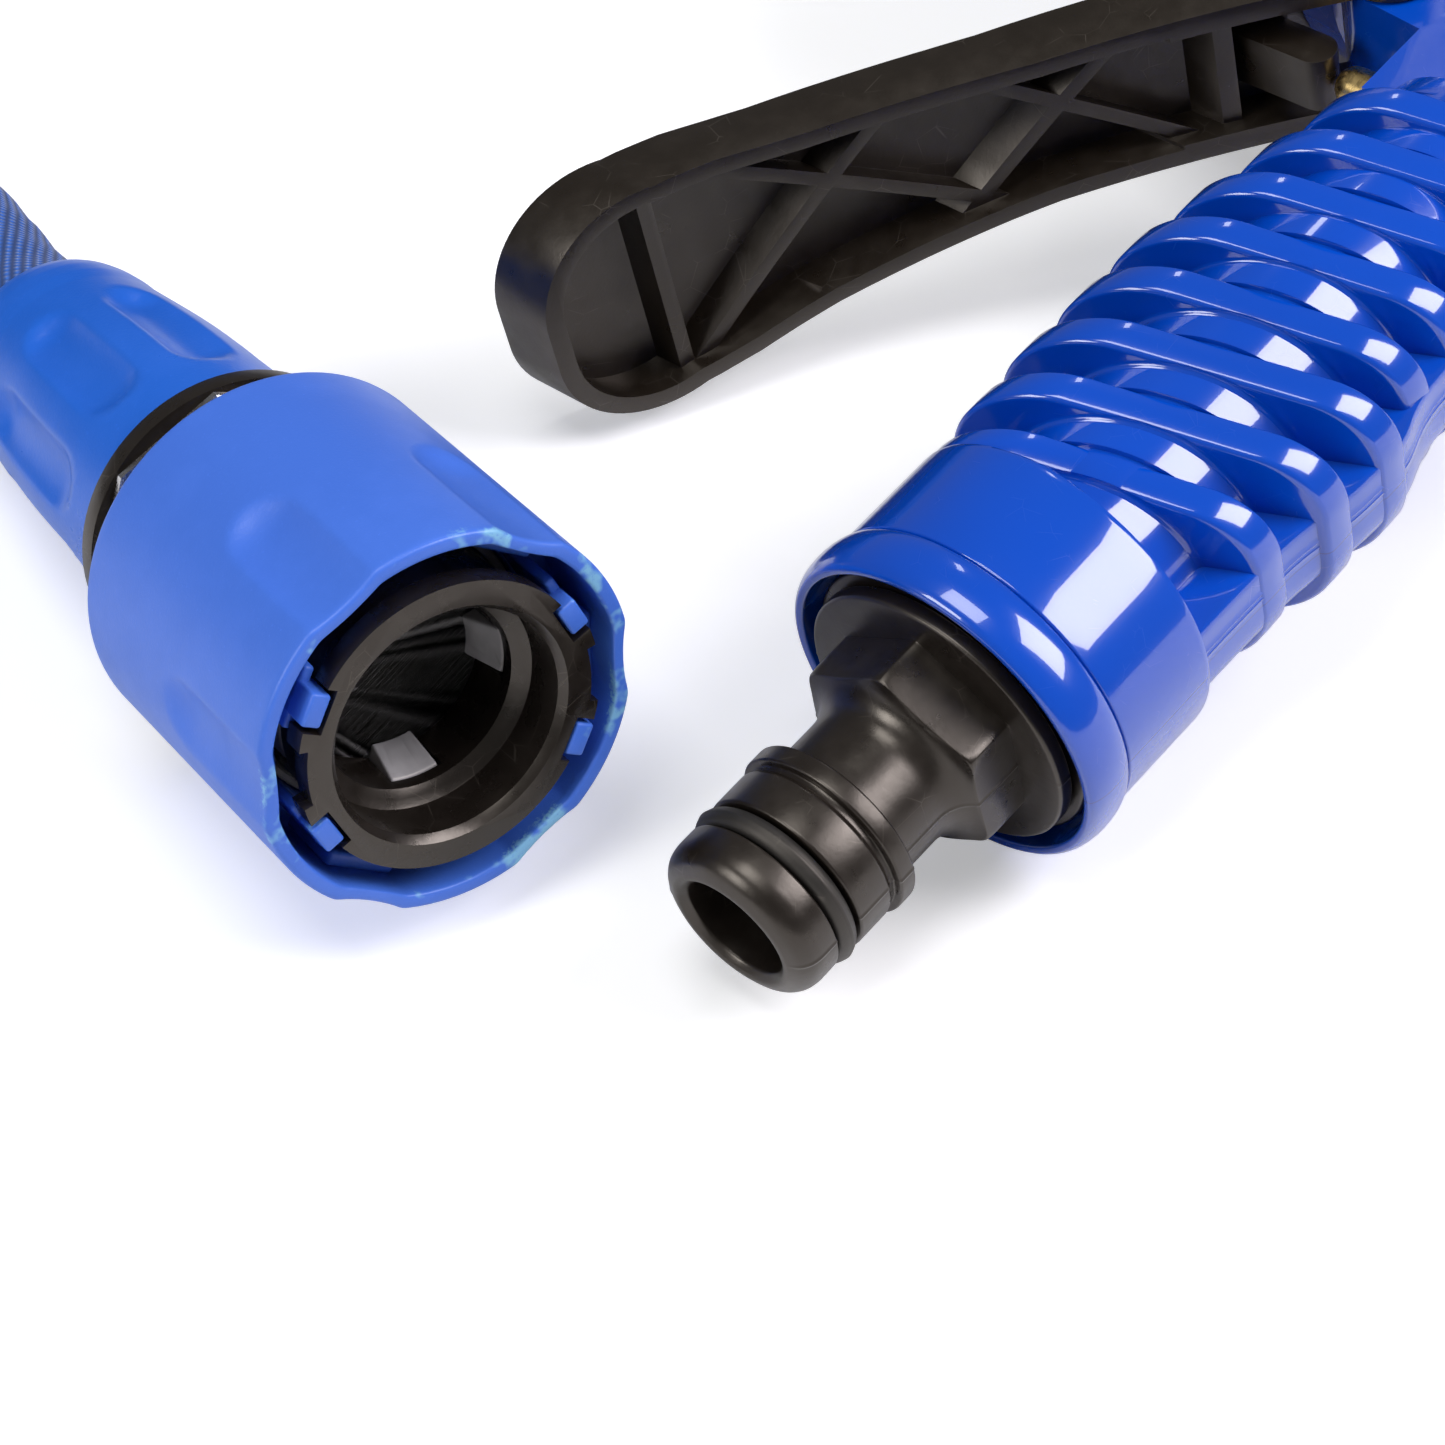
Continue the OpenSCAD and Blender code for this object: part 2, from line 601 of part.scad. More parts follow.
// the lead: straight behind the cuff, then in a slack double bend to the coil
bend_from = floor_of(cuff_at) + straight_run * along(hose_heading) + [0, 0, hose_r];
bend_arm = 50;
function bend_at(u) = pow(1 - u, 3) * bend_from
  + 3 * u * pow(1 - u, 2) * (bend_from + bend_arm * along(hose_heading))
  + 3 * u * u * (1 - u) * (coil_point(0) - bend_arm * coil_way(0)) + pow(u, 3) * coil_point(0);
function near_cuff(d) = cuff_at + d * tail_way(hose_heading);
lead_path = concat([near_cuff(cuff_gap), near_cuff(cuff_run),
    floor_of(cuff_at) + down_run * along(hose_heading) + [0, 0, hose_r]],
  [for (i = [0 : 10]) bend_at(i / 10)]);

// the end: a quarter turn up onto the coil, a tighter quarter turn, and straight to the far cuff
climb_deg = 90;
climb_out = 2;
top_r = 64;
far_lift = 2 * hose_r + coil_rise + 1;
end_deg = coil_deg + climb_deg;
top_mid = coil_mid + (coil_r + climb_out - top_r) * along(coil_start - end_deg);
far_heading = coil_start - 90 - end_deg - climb_deg;
function climb_point(t) = let (u = ease((t - coil_deg) / climb_deg))
  coil_mid + (coil_r + climb_out * u) * along(coil_start - t)
  + [0, 0, hose_r + coil_rise + (far_lift - coil_rise) * u];
function top_point(t) = top_mid + top_r * along(coil_start - t) + [0, 0, far_lift + hose_r];
far_cuff = floor_of(top_point(end_deg + climb_deg)) + down_run * along(far_heading)
  + [0, 0, far_lift + cuff_at[2]];
far_at = far_cuff + cuff_end_z * tail_way(far_heading + 180);
function near_far_cuff(d) = far_cuff + d * tail_way(far_heading + 180);
end_path = concat([for (t = [coil_deg : coil_step : end_deg]) climb_point(t)],
  [for (t = [end_deg + coil_step : coil_step : end_deg + climb_deg]) top_point(t)],
  [near_far_cuff(cuff_run), near_far_cuff(cuff_gap)]);
function path_len(p) = len(p) < 2 ? 0
  : norm(p[1] - p[0]) + path_len([for (i = [1 : len(p) - 1]) p[i]]);

module hose_lead_shape() color(weave)
  swept_tube(lead_path, hose_r, hose_sides, last_d = coil_way(0));
module hose_coil_shape() color(weave)
  swept_tube(coil_path, hose_r, coil_sides, coil_way(0), coil_way(coil_deg));
module hose_end_shape() color(weave)
  swept_tube(end_path, hose_r, hose_sides, first_d = coil_way(coil_deg));

// ---- gun pieces ----
module click_nipple_shape() color(black) along_handle() mirror([0, 0, 1]) difference() {
  union() {
    rotate_extrude() polygon(concat(
      [[0, nipple_len], [bead_r - 1.9, nipple_len], [bead_r - 0.8, nipple_len - 0.5],
       [bead_r - 0.2, nipple_len - 1.3], [bead_r, nipple_len - 2.2], [bead_r, bead_x + 0.3],
       [bead_r - 0.3, bead_x], [groove_r, bead_x], [groove_r, groove_x],
       [collar_r, groove_x], [collar_r, ridge_back + ridge_w + 0.9],
       [collar_r - 0.35, ridge_back + ridge_w + 0.6], [collar_r - 0.35, ridge_back + ridge_w],
       [ridge_r, ridge_back + ridge_w - 0.2], [ridge_r, ridge_back + 0.3],
       [ridge_r - 0.3, ridge_back], [neck_r, ridge_back]],
      [for (a = [0 : 15 : 90]) [neck_r + flare_r * (1 - cos(a)), flare_x - flare_r * sin(a)]],
      [[neck_r + flare_r, hex_len], [0, hex_len]]));
    intersection() {
      cylinder(h = hex_len, r = hex_af / 2 / cos(30), $fn = 6);
      rotate_extrude() polygon([[0, 0], [hex_af / 2 / cos(30) - 0.1, 0],
        [hex_af / 2 / cos(30) - 0.1, hex_len - 0.9], [neck_r + flare_r, hex_len + 0.01],
        [0, hex_len + 0.01]]);
    }
    rod(-flange_t, 0, flange_r);
    rod(-flange_t - flange_gap, -flange_t, flange_r - 1.2);
    rod(-2 * flange_t - flange_gap, -flange_t - flange_gap, flange_back_r);
    rod(-spigot_x, 0, nipple_spigot_r);
  }
  rod(-spigot_x - 1, nipple_len + 1, nipple_bore_r);
  translate([0, 0, nipple_len - 0.6]) cylinder(h = 0.7, r1 = nipple_bore_r, r2 = nipple_bore_r + 0.7);
}
module nipple_o_ring_shape() color(rubber) along_handle()
  translate([0, 0, -(groove_x + groove_w / 2)])
    rotate_extrude() translate([o_ring_out_r - o_ring_r, 0]) circle(r = o_ring_r, $fn = 32);

module inlet_washer_shape() color(rubber) along_handle()
  tube(seat_x - 0.5, seat_x + 1.3, 12.5, nipple_spigot_r + gap);

// points on a circle about c, from angle a0 to a1
function arc(c, r, a0, a1) = [for (i = [0 : 8]) let (a = a0 + (a1 - a0) * i / 8)
  c + r * [cos(a), sin(a)]];
function mirrored(p) = [for (i = [len(p) - 1 : -1 : 0]) [p[i][0], -p[i][1]]];

// outline of the grip across the handle: a wide front, a narrower back
module grip_outline(front, back, half) {
  r1 = half * 0.68;
  r2 = half * 0.55;
  c1 = [front - r1, half - r1];
  c2 = [-(back - r2), 0.17 * half];
  d = c2 - c1;
  turn = 360 + atan2(d[1], d[0]) - acos((r1 - r2) / norm(d));
  upper = concat(arc(c1, r1, 0, turn), arc(c2, r2, turn, 180));
  polygon(concat(upper, mirrored(upper)));
}

module fin(i) {
  at = fin_start + i * fin_pitch;
  translate([at, 0, 0]) rotate([0, 0, fin_slant]) translate([-fin_t, 0, 0])
    rotate([90, 0, 90]) linear_extrude(height = fin_t)
      grip_outline(lookup(at, front_reach) / cos(fin_slant), lookup(at, back_reach) / cos(fin_slant),
        grip_half * lookup(at, half_reach));
}

module gun_body_shape() color(blue) difference() {
  union() {
    along_handle() rotate_extrude() polygon(concat(
      [[0, seat_x + 1.4], [ring_in_r, seat_x + 1.4], [ring_in_r, 0.9], [ring_in_r + 0.4, 0.6]],
      [for (a = [0 : 20 : 180])
        [ring_r - bead_t + bead_t * sin(a), bead_mid_x - bead_x_half * cos(a)]],
      [[band_r, 6.4], [band_r, band_end - 0.8], [band_r - 0.8, band_end], [0, band_end]]));
    along_handle() rotate_extrude() polygon([[0, band_end - 1], [core_r, band_end - 1],
      [core_r, neck_x - 26], [core_r - 0.9, neck_x - 16], [core_r - 2.2, neck_x - 7],
      [core_r - 2.8, neck_x + 1], [0, neck_x + 1]]);
    for (i = [0 : fin_count - 1]) fin(i);
    spine();
    neck();
    along_barrel() rotate_extrude() polygon(concat(
      [[0, barrel_back - barrel_cap * sin(75)]],
      [for (a = [75 : -15 : 0]) [barrel_r * cos(a), barrel_back - barrel_cap * sin(a)]],
      [[barrel_r, plate_z - cone_len], [plate_r - 4, plate_z], [plate_r, plate_z],
       [plate_r, plate_top_z], [seal_groove_r, plate_top_z], [seal_groove_r, seal_floor_z],
       [boss_r, seal_floor_z], [boss_r, boss_end_z], [0, boss_end_z]]));
  }
  along_handle() {
    rod(-1, neck_x - 2, nipple_bore_r);
    rod(seat_x, spigot_x + gap, nipple_spigot_r + gap);
    rod(seat_x - 6, seat_x + 1.4, ring_in_r);
  }
  along_handle() {
    translate([0, -6, 0]) rod(neck_x - 8, valve_x, 2.4);
    translate([0, 1, 0]) rod(valve_x, barrel_x, 2.2);
  }
  across_valve() {
    rod(-chamber_end - 1, seat_y + 1.5, chamber_r);
    rod(seat_y, throat_y, stem_r + 0.9);
    rod(0, neck_front + 1, stem_r + stem_play);
    rod(stem_seal_y - 1, stem_seal_y + 1, stem_r + 1.9);
  }
  translate([pivot_x, pivot_y, 0]) deep(far) circle(r = pin_r + 0.02);
  along_barrel() {
    rod(barrel_back + 2, plate_z, 8.4);
    translate([port_circle_r, 0, 0]) {
      rod(plate_z - 3.4, plate_top_z + 1, port_r);
      rod(port_floor_z, plate_top_z + 1, port_seal_r + gap);
    }
    translate([4, -port_r, plate_z - 3.4]) cube([port_circle_r - 4, 2 * port_r, 4]);
    rotate(180) translate([detent_at, 0, 0]) rod(detent_floor_z, plate_top_z + 1, ball_r + gap);
    rod(dial_z + 2, boss_end_z + 1, screw_r + 0.02);
  }
}

module spine() deep(spine_half) polygon(concat(
  [[band_end - 1, -core_r / 2]],
  [for (p = back_reach) if (p[0] > band_end - 4) [p[0] + p[1] * slant_run, 0.2 - p[1]]],
  [[neck_x + 8, 2 - neck_back], [neck_x + 8, -core_r / 2]]));

// the neck: wide at the back round the valve, narrow at the front between the fork's arms
lug_half = lever_fork_half - arm_t - 0.35;
module neck() {
  translate([neck_x - 2, 0, 0]) rotate([90, 0, 90]) linear_extrude(height = barrel_x - neck_x)
    polygon(round_box(-neck_back, -2, neck_half, 3));
  deep(lug_half) polygon(concat(
    [[neck_x - 1, -4], [neck_x - 1, neck_front], [pivot_x - 6, neck_front]],
    [for (a = [170 : -20 : 90]) [pivot_x + (eye_r - 0.3) * cos(a), pivot_y + (eye_r - 0.3) * sin(a)]],
    [[barrel_x - 3, pivot_y + 4], [barrel_x, neck_front - 1], [barrel_x, -4]]));
  across_valve() rod(-neck_back + 1, -chamber_end, chamber_r + 2.4);
}

// a box with round corners, from y0 to y1 and as far to each side as half
function round_box(y0, y1, half, r) = let (
    right = [for (a = [-90 : 22.5 : 0]) [y1 - r + r * cos(a), r - half + r * sin(a)]],
    left = [for (a = [-180 : 22.5 : -90]) [y0 + r + r * cos(a), r - half + r * sin(a)]])
  concat(left, right, mirrored(right), mirrored(left));

// ---- trigger ----
module bow(r0, r1) translate([bow_c[0], bow_c[1]]) difference() {
  circle(r = r1, $fn = 360);
  circle(r = r0, $fn = 360);
}

function lever_half(x) = lookup(x, [[tip_x, lever_tip_half], [tip_x + 17, lever_tip_half - 0.4],
  [waist_x - 20, lever_fork_half + 2.1], [waist_x - 10, lever_fork_half + 1],
  [waist_x, lever_fork_half], [waist_x + 50, lever_fork_half]]);

// plan of the lever, drawn along the handle and across
module lever_plan(inset) {
  x0 = tip_x + tip_round;
  side = lever_tip_half - tip_round;
  xs = [for (x = [x0 : 4 : waist_x + 40]) x];
  for (z = [-side, side]) translate([x0, z]) circle(r = tip_round - inset);
  translate([tip_x + inset, -side]) square([tip_round, 2 * side]);
  polygon(concat([for (x = xs) [x, inset - lever_half(x)]],
    [for (i = [len(xs) - 1 : -1 : 0]) [xs[i], lever_half(xs[i]) - inset]]));
}

module from_plan(inset) rotate([-90, 0, 0]) translate([0, 0, -far]) linear_extrude(height = 2 * far)
  lever_plan(inset);

module lever_band(r0, r1, x1) intersection() {
  bow(r0, r1);
  translate([-far, 0]) square([x1 + far, 2 * far]);
}

// arms of the fork, from the web's end to the eyes round the pin
module fork_side() {
  intersection() {
    lever_band(bow_r, bow_r + channel_d, pivot_x - 1);
    translate([web_end_x - 12, 0]) square([far, 2 * far]);
  }
  translate([pivot_x, pivot_y]) circle(r = eye_r);
}

module deep(h) linear_extrude(height = 2 * h, center = true) children();

module trigger_shape() color(black) difference() {
  union() {
    intersection() {
      union() {
        difference() {
          deep(30) lever_band(bow_r, bow_r + channel_d, web_end_x);
          intersection() {
            deep(30) lever_band(bow_r - 5, bow_r + channel_d - lever_wall, web_end_x + 1);
            from_plan(lever_wall);
          }
        }
        difference() {
          deep(30) fork_side();
          deep(lever_fork_half - arm_t) union() {
            lever_band(bow_r - 20, bow_r + channel_d - lever_wall, web_end_x);
            translate([web_end_x, -10]) square([40, 60]);
          }
        }
        intersection() {
          deep(30) lever_band(bow_r + 1.6, bow_r + channel_d - 1, web_end_x - 2);
          union() {
            rib(27, 1, 27, -1);
            rib(28, -1, 50, 1);
            rib(31, 1, 58, -1);
            rib(54, -1, 69, 1);
            rib(56, 1, 74, -1);
            rib(76, 1, 76, -1);
          }
        }
      }
      from_plan(0);
    }
    translate([valve_x, pad_y, 0]) deep(3) {
      circle(r = pad_r);
      translate([-pad_r, 0]) square([2 * pad_r, 9]);
    }
    for (i = [0 : 4]) for (z = [-1, 0, 1]) nub(24.6 + 5 * i, 6.6 * z);
  }
  translate([pivot_x, pivot_y, 0]) deep(30) circle(r = pin_r + 0.06);
}

module rib(x0, s0, x1, s1) {
  z0 = s0 * (lever_half(x0) - lever_wall / 2);
  z1 = s1 * (lever_half(x1) - lever_wall / 2);
  run = sqrt(pow(x1 - x0, 2) + pow(z1 - z0, 2));
  translate([x0, 0, z0]) rotate([0, -atan2(z1 - z0, x1 - x0), 0])
    translate([0, 0, -0.7]) cube([run, 80, 1.4]);
}

module nub(x, z) {
  y = bow_c[1] + sqrt(pow(bow_r + channel_d, 2) - pow(x - bow_c[0], 2));
  translate([x, y - 0.35, z]) sphere(r = 1.3, $fn = 32);
}

module trigger_pin_shape() color(steel) translate([pivot_x, pivot_y, 0]) {
  rod(-lever_fork_half - 0.8, lever_fork_half + 0.8, pin_r);
  for (s = [-1, 1]) rod(s * (lever_fork_half + 0.25), s * (lever_fork_half + 1.25), pin_r + 1.1);
}

// ---- valve ----
module valve_stem_shape() color(brass) across_valve() {
  rod(seat_y - 2, stem_tip_y - stem_r, stem_r);
  translate([0, 0, stem_tip_y - stem_r]) sphere(r = stem_r);
  rod(seat_y - 0.1, seat_y - 2.2, valve_head_r);
  rod(seat_y - 2, seat_y - 5, 1.6);
}
module valve_seat_shape() color(rubber) across_valve()
  tube(seat_y, seat_y + 1.4, chamber_r - 0.05, stem_r + 0.9);
module stem_seals_shape() color(rubber) across_valve()
  translate([0, 0, stem_seal_y]) rotate_extrude()
    translate([stem_r + 0.98, 0]) circle(r = 0.86, $fn = 32);
module valve_spring_shape() color(steel) across_valve()
  spring(5, 3.1, 0.4, seat_y - 2.7, -chamber_end + 2.2);
module valve_plug_shape() color(black) across_valve() difference() {
  union() {
    rod(-chamber_end + 1.7, -chamber_end - 0.2, chamber_r - 0.05);
    rod(-chamber_end - 0.05, -chamber_end - 2, chamber_r + 2);
  }
  translate([-6, -0.7, -chamber_end - 3]) cube([12, 1.4, 2]);
}

// ---- spray head ----
module spray_dial_shape() color(black) along_barrel() difference() {
  union() {
    rod(dial_z, dial_z + dial_t, dial_in_r + 1);
    tube(dial_z, dial_z + dial_depth - 1.2, dial_r, dial_in_r);
    tube(dial_z + dial_depth - 1.3, dial_z + dial_depth, dial_r - 1, dial_in_r);
    tube(dial_z, face_z0 - gap, dial_in_r + 1, dial_in_r - 1.2);
    rod(dial_z, face_z0 - gap, hub_r);
    ring_of(pattern_count, 180 / pattern_count) translate([hub_r - 0.4, -0.7, dial_z + 1])
      cube([dial_in_r - hub_r, 1.4, face_z0 - dial_z - 1.4]);
  }
  rod(dial_z - 1, face_z0 + 1, boss_r + dial_play);
  rod(hub_end_z, face_z0 + 1, screw_head_r + 0.2);
  ring_of(pattern_count, 0) translate([port_circle_r, 0, 0])
    rod(dial_z - 1, dial_z + dial_t + 1, port_r + 0.2);
  tube(dial_z - 1, ball_z + ball_r + gap, detent_at + ball_r + gap, detent_at - ball_r - gap);
  ring_of(pattern_count, 0) translate([detent_at, 0, 0])
    rod(dial_z - 1, ball_z + ball_r + dimple_d, ball_r - 0.25);
  ring_of(lobe_count, 0) translate([dial_r + 2.9, 0, 0])
    rod(dial_z - 1, dial_z + dial_depth + 1, 4.2);
}

module dial_face_shape() color(blue) along_barrel() difference() {
  rod(face_z0, face_z0 + face_t, dial_in_r - gap);
  rod(face_z0 - 1, face_z0 + 5, boss_r + 0.4);
  for (i = [0 : pattern_count - 1]) rotate(i * 360 / pattern_count)
    translate([port_circle_r + 2, 0, face_z0 - 1]) pattern(i);
}

// a spray hole through the face, and a ring of them
module jet(r) cylinder(h = 9, r = r, $fn = 24);
module jets(count, turn, at, r) ring_of(count, turn) translate([at, 0, 0]) jet(r);

// spray openings of one pattern
module pattern(i) {
  if (i == 0) jet(2.4);
  if (i == 1) jets(7, 0, 3.4, 0.6);
  if (i == 2) translate([-0.6, -4, 0]) cube([1.2, 8, 9]);
  if (i == 3) jets(3, 0, 2, 0.8);
  if (i == 4) for (x = [-3 : 2 : 3]) for (y = [-3 : 2 : 3]) translate([x, y, 0]) jet(0.5);
  if (i == 5) jets(12, 0, 3.3, 0.5);
  if (i == 6) jets(5, 18, 2.8, 0.9);
  if (i == 7) jet(1.2);
}

module dial_screw_shape() color(steel) along_barrel() difference() {
  union() {
    rod(dial_z + 3, boss_end_z + 0.3, screw_r);
    rod(boss_end_z + 0.05, boss_end_z + 2.3, screw_head_r);
  }
  for (a = [0, 90]) rotate(a) translate([-3, -0.5, boss_end_z + 1.2]) cube([6, 1, 2]);
}
module dial_seal_shape() color(rubber) along_barrel()
  tube(seal_floor_z + 0.05, dial_z - gap, seal_groove_r - gap, boss_r + gap);
module port_seal_shape() color(rubber) along_barrel() translate([port_circle_r, 0, 0])
  tube(plate_top_z - 1.2, dial_z - gap, port_seal_r, port_r);
module port_spring_shape() color(steel) along_barrel() translate([port_circle_r, 0, 0])
  spring(3, 3.6, 0.3, port_floor_z + 0.4, plate_top_z - 1.6);
module detent_ball_shape() color(steel) along_barrel() rotate(180)
  translate([detent_at, 0, ball_z]) sphere(r = ball_r, $fn = 32);
module detent_spring_shape() color(steel) along_barrel() rotate(180)
  translate([detent_at, 0, 0]) spring(2, 1.1, 0.25, detent_floor_z + 0.3, ball_z - 1.75);

// ---- the pieces where they lie ----
module coupler_body() place_coupler() coupler_body_shape();
module locking_claws() place_coupler() locking_claws_shape();
module release_sleeve() place_coupler() release_sleeve_shape();
module sleeve_spring() place_coupler() sleeve_spring_shape();
module hose_nut() place_coupler() hose_nut_shape();
module hose_collet() place_coupler() hose_collet_shape();
module hose_lining() place_coupler() hose_lining_shape();
module hose_cuff() place_coupler() hose_cuff_shape();
module hose_lead() hose_lead_shape();
module hose_coil() hose_coil_shape();
module hose_end() hose_end_shape();
module far_coupler_body() place_far_coupler() coupler_body_shape();
module far_locking_claws() place_far_coupler() locking_claws_shape();
module far_release_sleeve() place_far_coupler() release_sleeve_shape();
module far_sleeve_spring() place_far_coupler() sleeve_spring_shape();
module far_hose_nut() place_far_coupler() hose_nut_shape();
module far_hose_collet() place_far_coupler() hose_collet_shape();
module far_hose_lining() place_far_coupler() hose_lining_shape();
module far_hose_cuff() place_far_coupler() hose_cuff_shape();
module gun_body() place_gun() gun_body_shape();
module click_nipple() place_gun() click_nipple_shape();
module nipple_o_ring() place_gun() nipple_o_ring_shape();
module inlet_washer() place_gun() inlet_washer_shape();
module trigger() place_gun() trigger_shape();
module trigger_pin() place_gun() trigger_pin_shape();
module valve_stem() place_gun() valve_stem_shape();
module valve_seat() place_gun() valve_seat_shape();
module stem_seals() place_gun() stem_seals_shape();
module valve_spring() place_gun() valve_spring_shape();
module valve_plug() place_gun() valve_plug_shape();
module spray_dial() place_gun() spray_dial_shape();
module dial_face() place_gun() dial_face_shape();
module dial_screw() place_gun() dial_screw_shape();
module dial_seal() place_gun() dial_seal_shape();
module port_seal() place_gun() port_seal_shape();
module port_spring() place_gun() port_spring_shape();
module detent_ball() place_gun() detent_ball_shape();
module detent_spring() place_gun() detent_spring_shape();

coupler_body();
locking_claws();
release_sleeve();
sleeve_spring();
hose_nut();
hose_collet();
hose_lining();
hose_cuff();
hose_lead();
hose_coil();
hose_end();
far_coupler_body();
far_locking_claws();
far_release_sleeve();
far_sleeve_spring();
far_hose_nut();
far_hose_collet();
far_hose_lining();
far_hose_cuff();
gun_body();
click_nipple();
nipple_o_ring();
inlet_washer();
trigger();
trigger_pin();
valve_stem();
valve_seat();
stem_seals();
valve_spring();
valve_plug();
spray_dial();
dial_face();
dial_screw();
dial_seal();
port_seal();
port_spring();
detent_ball();
detent_spring();

echo(coupler_tilt = coupler_tilt, coupler_z = coupler_z, cuff_at = cuff_at);
echo(gun_z = gun_z, gun_tilt = gun_tilt);
echo(hose_length = path_len(lead_path) + path_len(coil_path) + path_len(end_path)
  - cuff_end_z * 2 + 2 * tail_z);
echo(far_at = far_at, far_heading = far_heading, coil_own_gap = coil_own_gap);
echo(lead_path = lead_path);
echo(end_path = end_path);
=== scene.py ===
# %% [markdown]
# # A coiled garden hose, its quick couplers and a pistol spray gun
# The set is an expandable hose in a woven jacket. Each end has a quick coupler, and the spray gun
# plugs into one of them. We model each piece as its own object, from outside in, and give each
# plastic, rubber and cloth its own finish. All sizes are millimetres unless a comment says metres.

# %% Start from the frame
import json
import math

import bpy
import numpy as np
from mathutils import Euler, Matrix, Vector

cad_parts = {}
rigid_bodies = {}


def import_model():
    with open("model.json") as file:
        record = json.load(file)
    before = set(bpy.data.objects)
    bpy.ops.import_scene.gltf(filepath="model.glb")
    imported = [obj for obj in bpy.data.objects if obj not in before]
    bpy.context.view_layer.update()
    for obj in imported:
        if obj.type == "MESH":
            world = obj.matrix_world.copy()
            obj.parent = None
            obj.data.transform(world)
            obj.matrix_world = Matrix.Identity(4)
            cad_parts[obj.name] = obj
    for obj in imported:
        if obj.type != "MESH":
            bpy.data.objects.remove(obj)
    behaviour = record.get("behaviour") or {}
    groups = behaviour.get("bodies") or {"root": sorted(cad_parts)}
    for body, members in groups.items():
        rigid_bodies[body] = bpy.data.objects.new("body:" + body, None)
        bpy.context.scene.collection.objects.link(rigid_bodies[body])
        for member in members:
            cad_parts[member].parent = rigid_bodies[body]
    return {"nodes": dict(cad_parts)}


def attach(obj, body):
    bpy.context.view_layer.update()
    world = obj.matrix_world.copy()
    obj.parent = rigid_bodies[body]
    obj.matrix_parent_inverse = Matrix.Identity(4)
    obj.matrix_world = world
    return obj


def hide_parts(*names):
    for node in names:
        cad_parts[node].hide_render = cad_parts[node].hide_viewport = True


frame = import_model()
bpy.ops.object.select_all(action="DESELECT")
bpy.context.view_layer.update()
MM = 0.001
print("frame nodes:", len(frame["nodes"]))

# %% [markdown]
# ## Where the two assemblies lie
# A coupler is drawn along its own axis, +Z out of its mouth. The gun is drawn with its handle along
# +X and the trigger towards +Y. A matrix for each then puts it where it lies on the floor. Pieces of the
# coupler at the far end have the same names with far_ in front.


# %% Places of the gun and the couplers
def turned_by(degrees, axis):
    """A rotation about one axis."""
    return Matrix.Rotation(math.radians(degrees), 4, axis)


FLANGE_ON_FLOOR = (-51.4, -37.8)
GUN_LIFT, GUN_TILT, GUN_ROLL = 15.7289, 10.8528, 5
RIM_FROM_FLANGE = (-31.7, 25.1)
RIM_LIFT, COUPLER_TILT, MOUTH_HEADING = 22.3908, 9.77264, -105
FAR_AT, FAR_HEADING = (-50, 292.686, 54.0908), 90

rim_on_floor = [FLANGE_ON_FLOOR[i] + RIM_FROM_FLANGE[i] for i in (0, 1)]
gun_place = (
    Matrix.Translation((*FLANGE_ON_FLOOR, GUN_LIFT)) @ turned_by(-GUN_TILT, "Y") @ turned_by(-GUN_ROLL, "X")
)
coupler_lies = turned_by(90 - COUPLER_TILT, "Y")
coupler_place = Matrix.Translation((*rim_on_floor, RIM_LIFT)) @ turned_by(MOUTH_HEADING, "Z") @ coupler_lies
far_place = Matrix.Translation(FAR_AT) @ turned_by(FAR_HEADING, "Z") @ coupler_lies
HOSE_ENDS = (("", coupler_place), ("far_", far_place))
print("coupler rim at", [round(v, 1) for v in coupler_place.translation])

# %% [markdown]
# ## Camera
# A long lens looks down on the set at about 45 degrees, from the side to which the coupler's mouth and
# the gun's nipple point.

# %% Camera
CAMERA_FROM_FLANGE, CAMERA_HEIGHT = (-187.1, -141.6), 253.4
CAMERA_PITCH, CAMERA_HEADING = 44.5, -48.55
camera_data = bpy.data.cameras.new("camera")
camera_data.lens = 99.65
camera_data.sensor_width = 36
camera_data.clip_start = 0.01
camera = bpy.data.objects.new("camera", camera_data)
bpy.context.scene.collection.objects.link(camera)
camera.location = [
    (FLANGE_ON_FLOOR[0] + CAMERA_FROM_FLANGE[0]) * MM,
    (FLANGE_ON_FLOOR[1] + CAMERA_FROM_FLANGE[1]) * MM,
    CAMERA_HEIGHT * MM,
]
camera.rotation_euler = Euler((math.radians(CAMERA_PITCH), 0, math.radians(CAMERA_HEADING)))
bpy.context.scene.camera = camera
print("camera at", [round(v, 3) for v in camera.location])

# %% [markdown]
# ## Helpers that shape a mesh
# Most of these pieces are skins over a row of cross-sections. We add a grid with one column for each
# step round the piece and one row for each cross-section, lay its points where we want them, and merge
# the seam. The grid brings its own UV map, which the woven jacket needs.


# %% Grid wrapped over sections
def wrap(name, rows):
    """A skin over rows of points, in millimetres. The first and last point of a row are the same."""
    rows = np.asarray(rows, float)
    count, around = rows.shape[:2]
    bpy.ops.object.select_all(action="DESELECT")
    bpy.ops.mesh.primitive_grid_add(x_subdivisions=around - 1, y_subdivisions=count - 1, size=1)
    piece = bpy.context.object
    piece.name = name
    piece.data.vertices.foreach_set("co", rows.reshape(-1))
    bpy.ops.object.mode_set(mode="EDIT")
    bpy.ops.mesh.select_all(action="SELECT")
    bpy.ops.mesh.remove_doubles(threshold=0.002)
    bpy.ops.mesh.normals_make_consistent(inside=False)
    bpy.ops.object.mode_set(mode="OBJECT")
    return piece


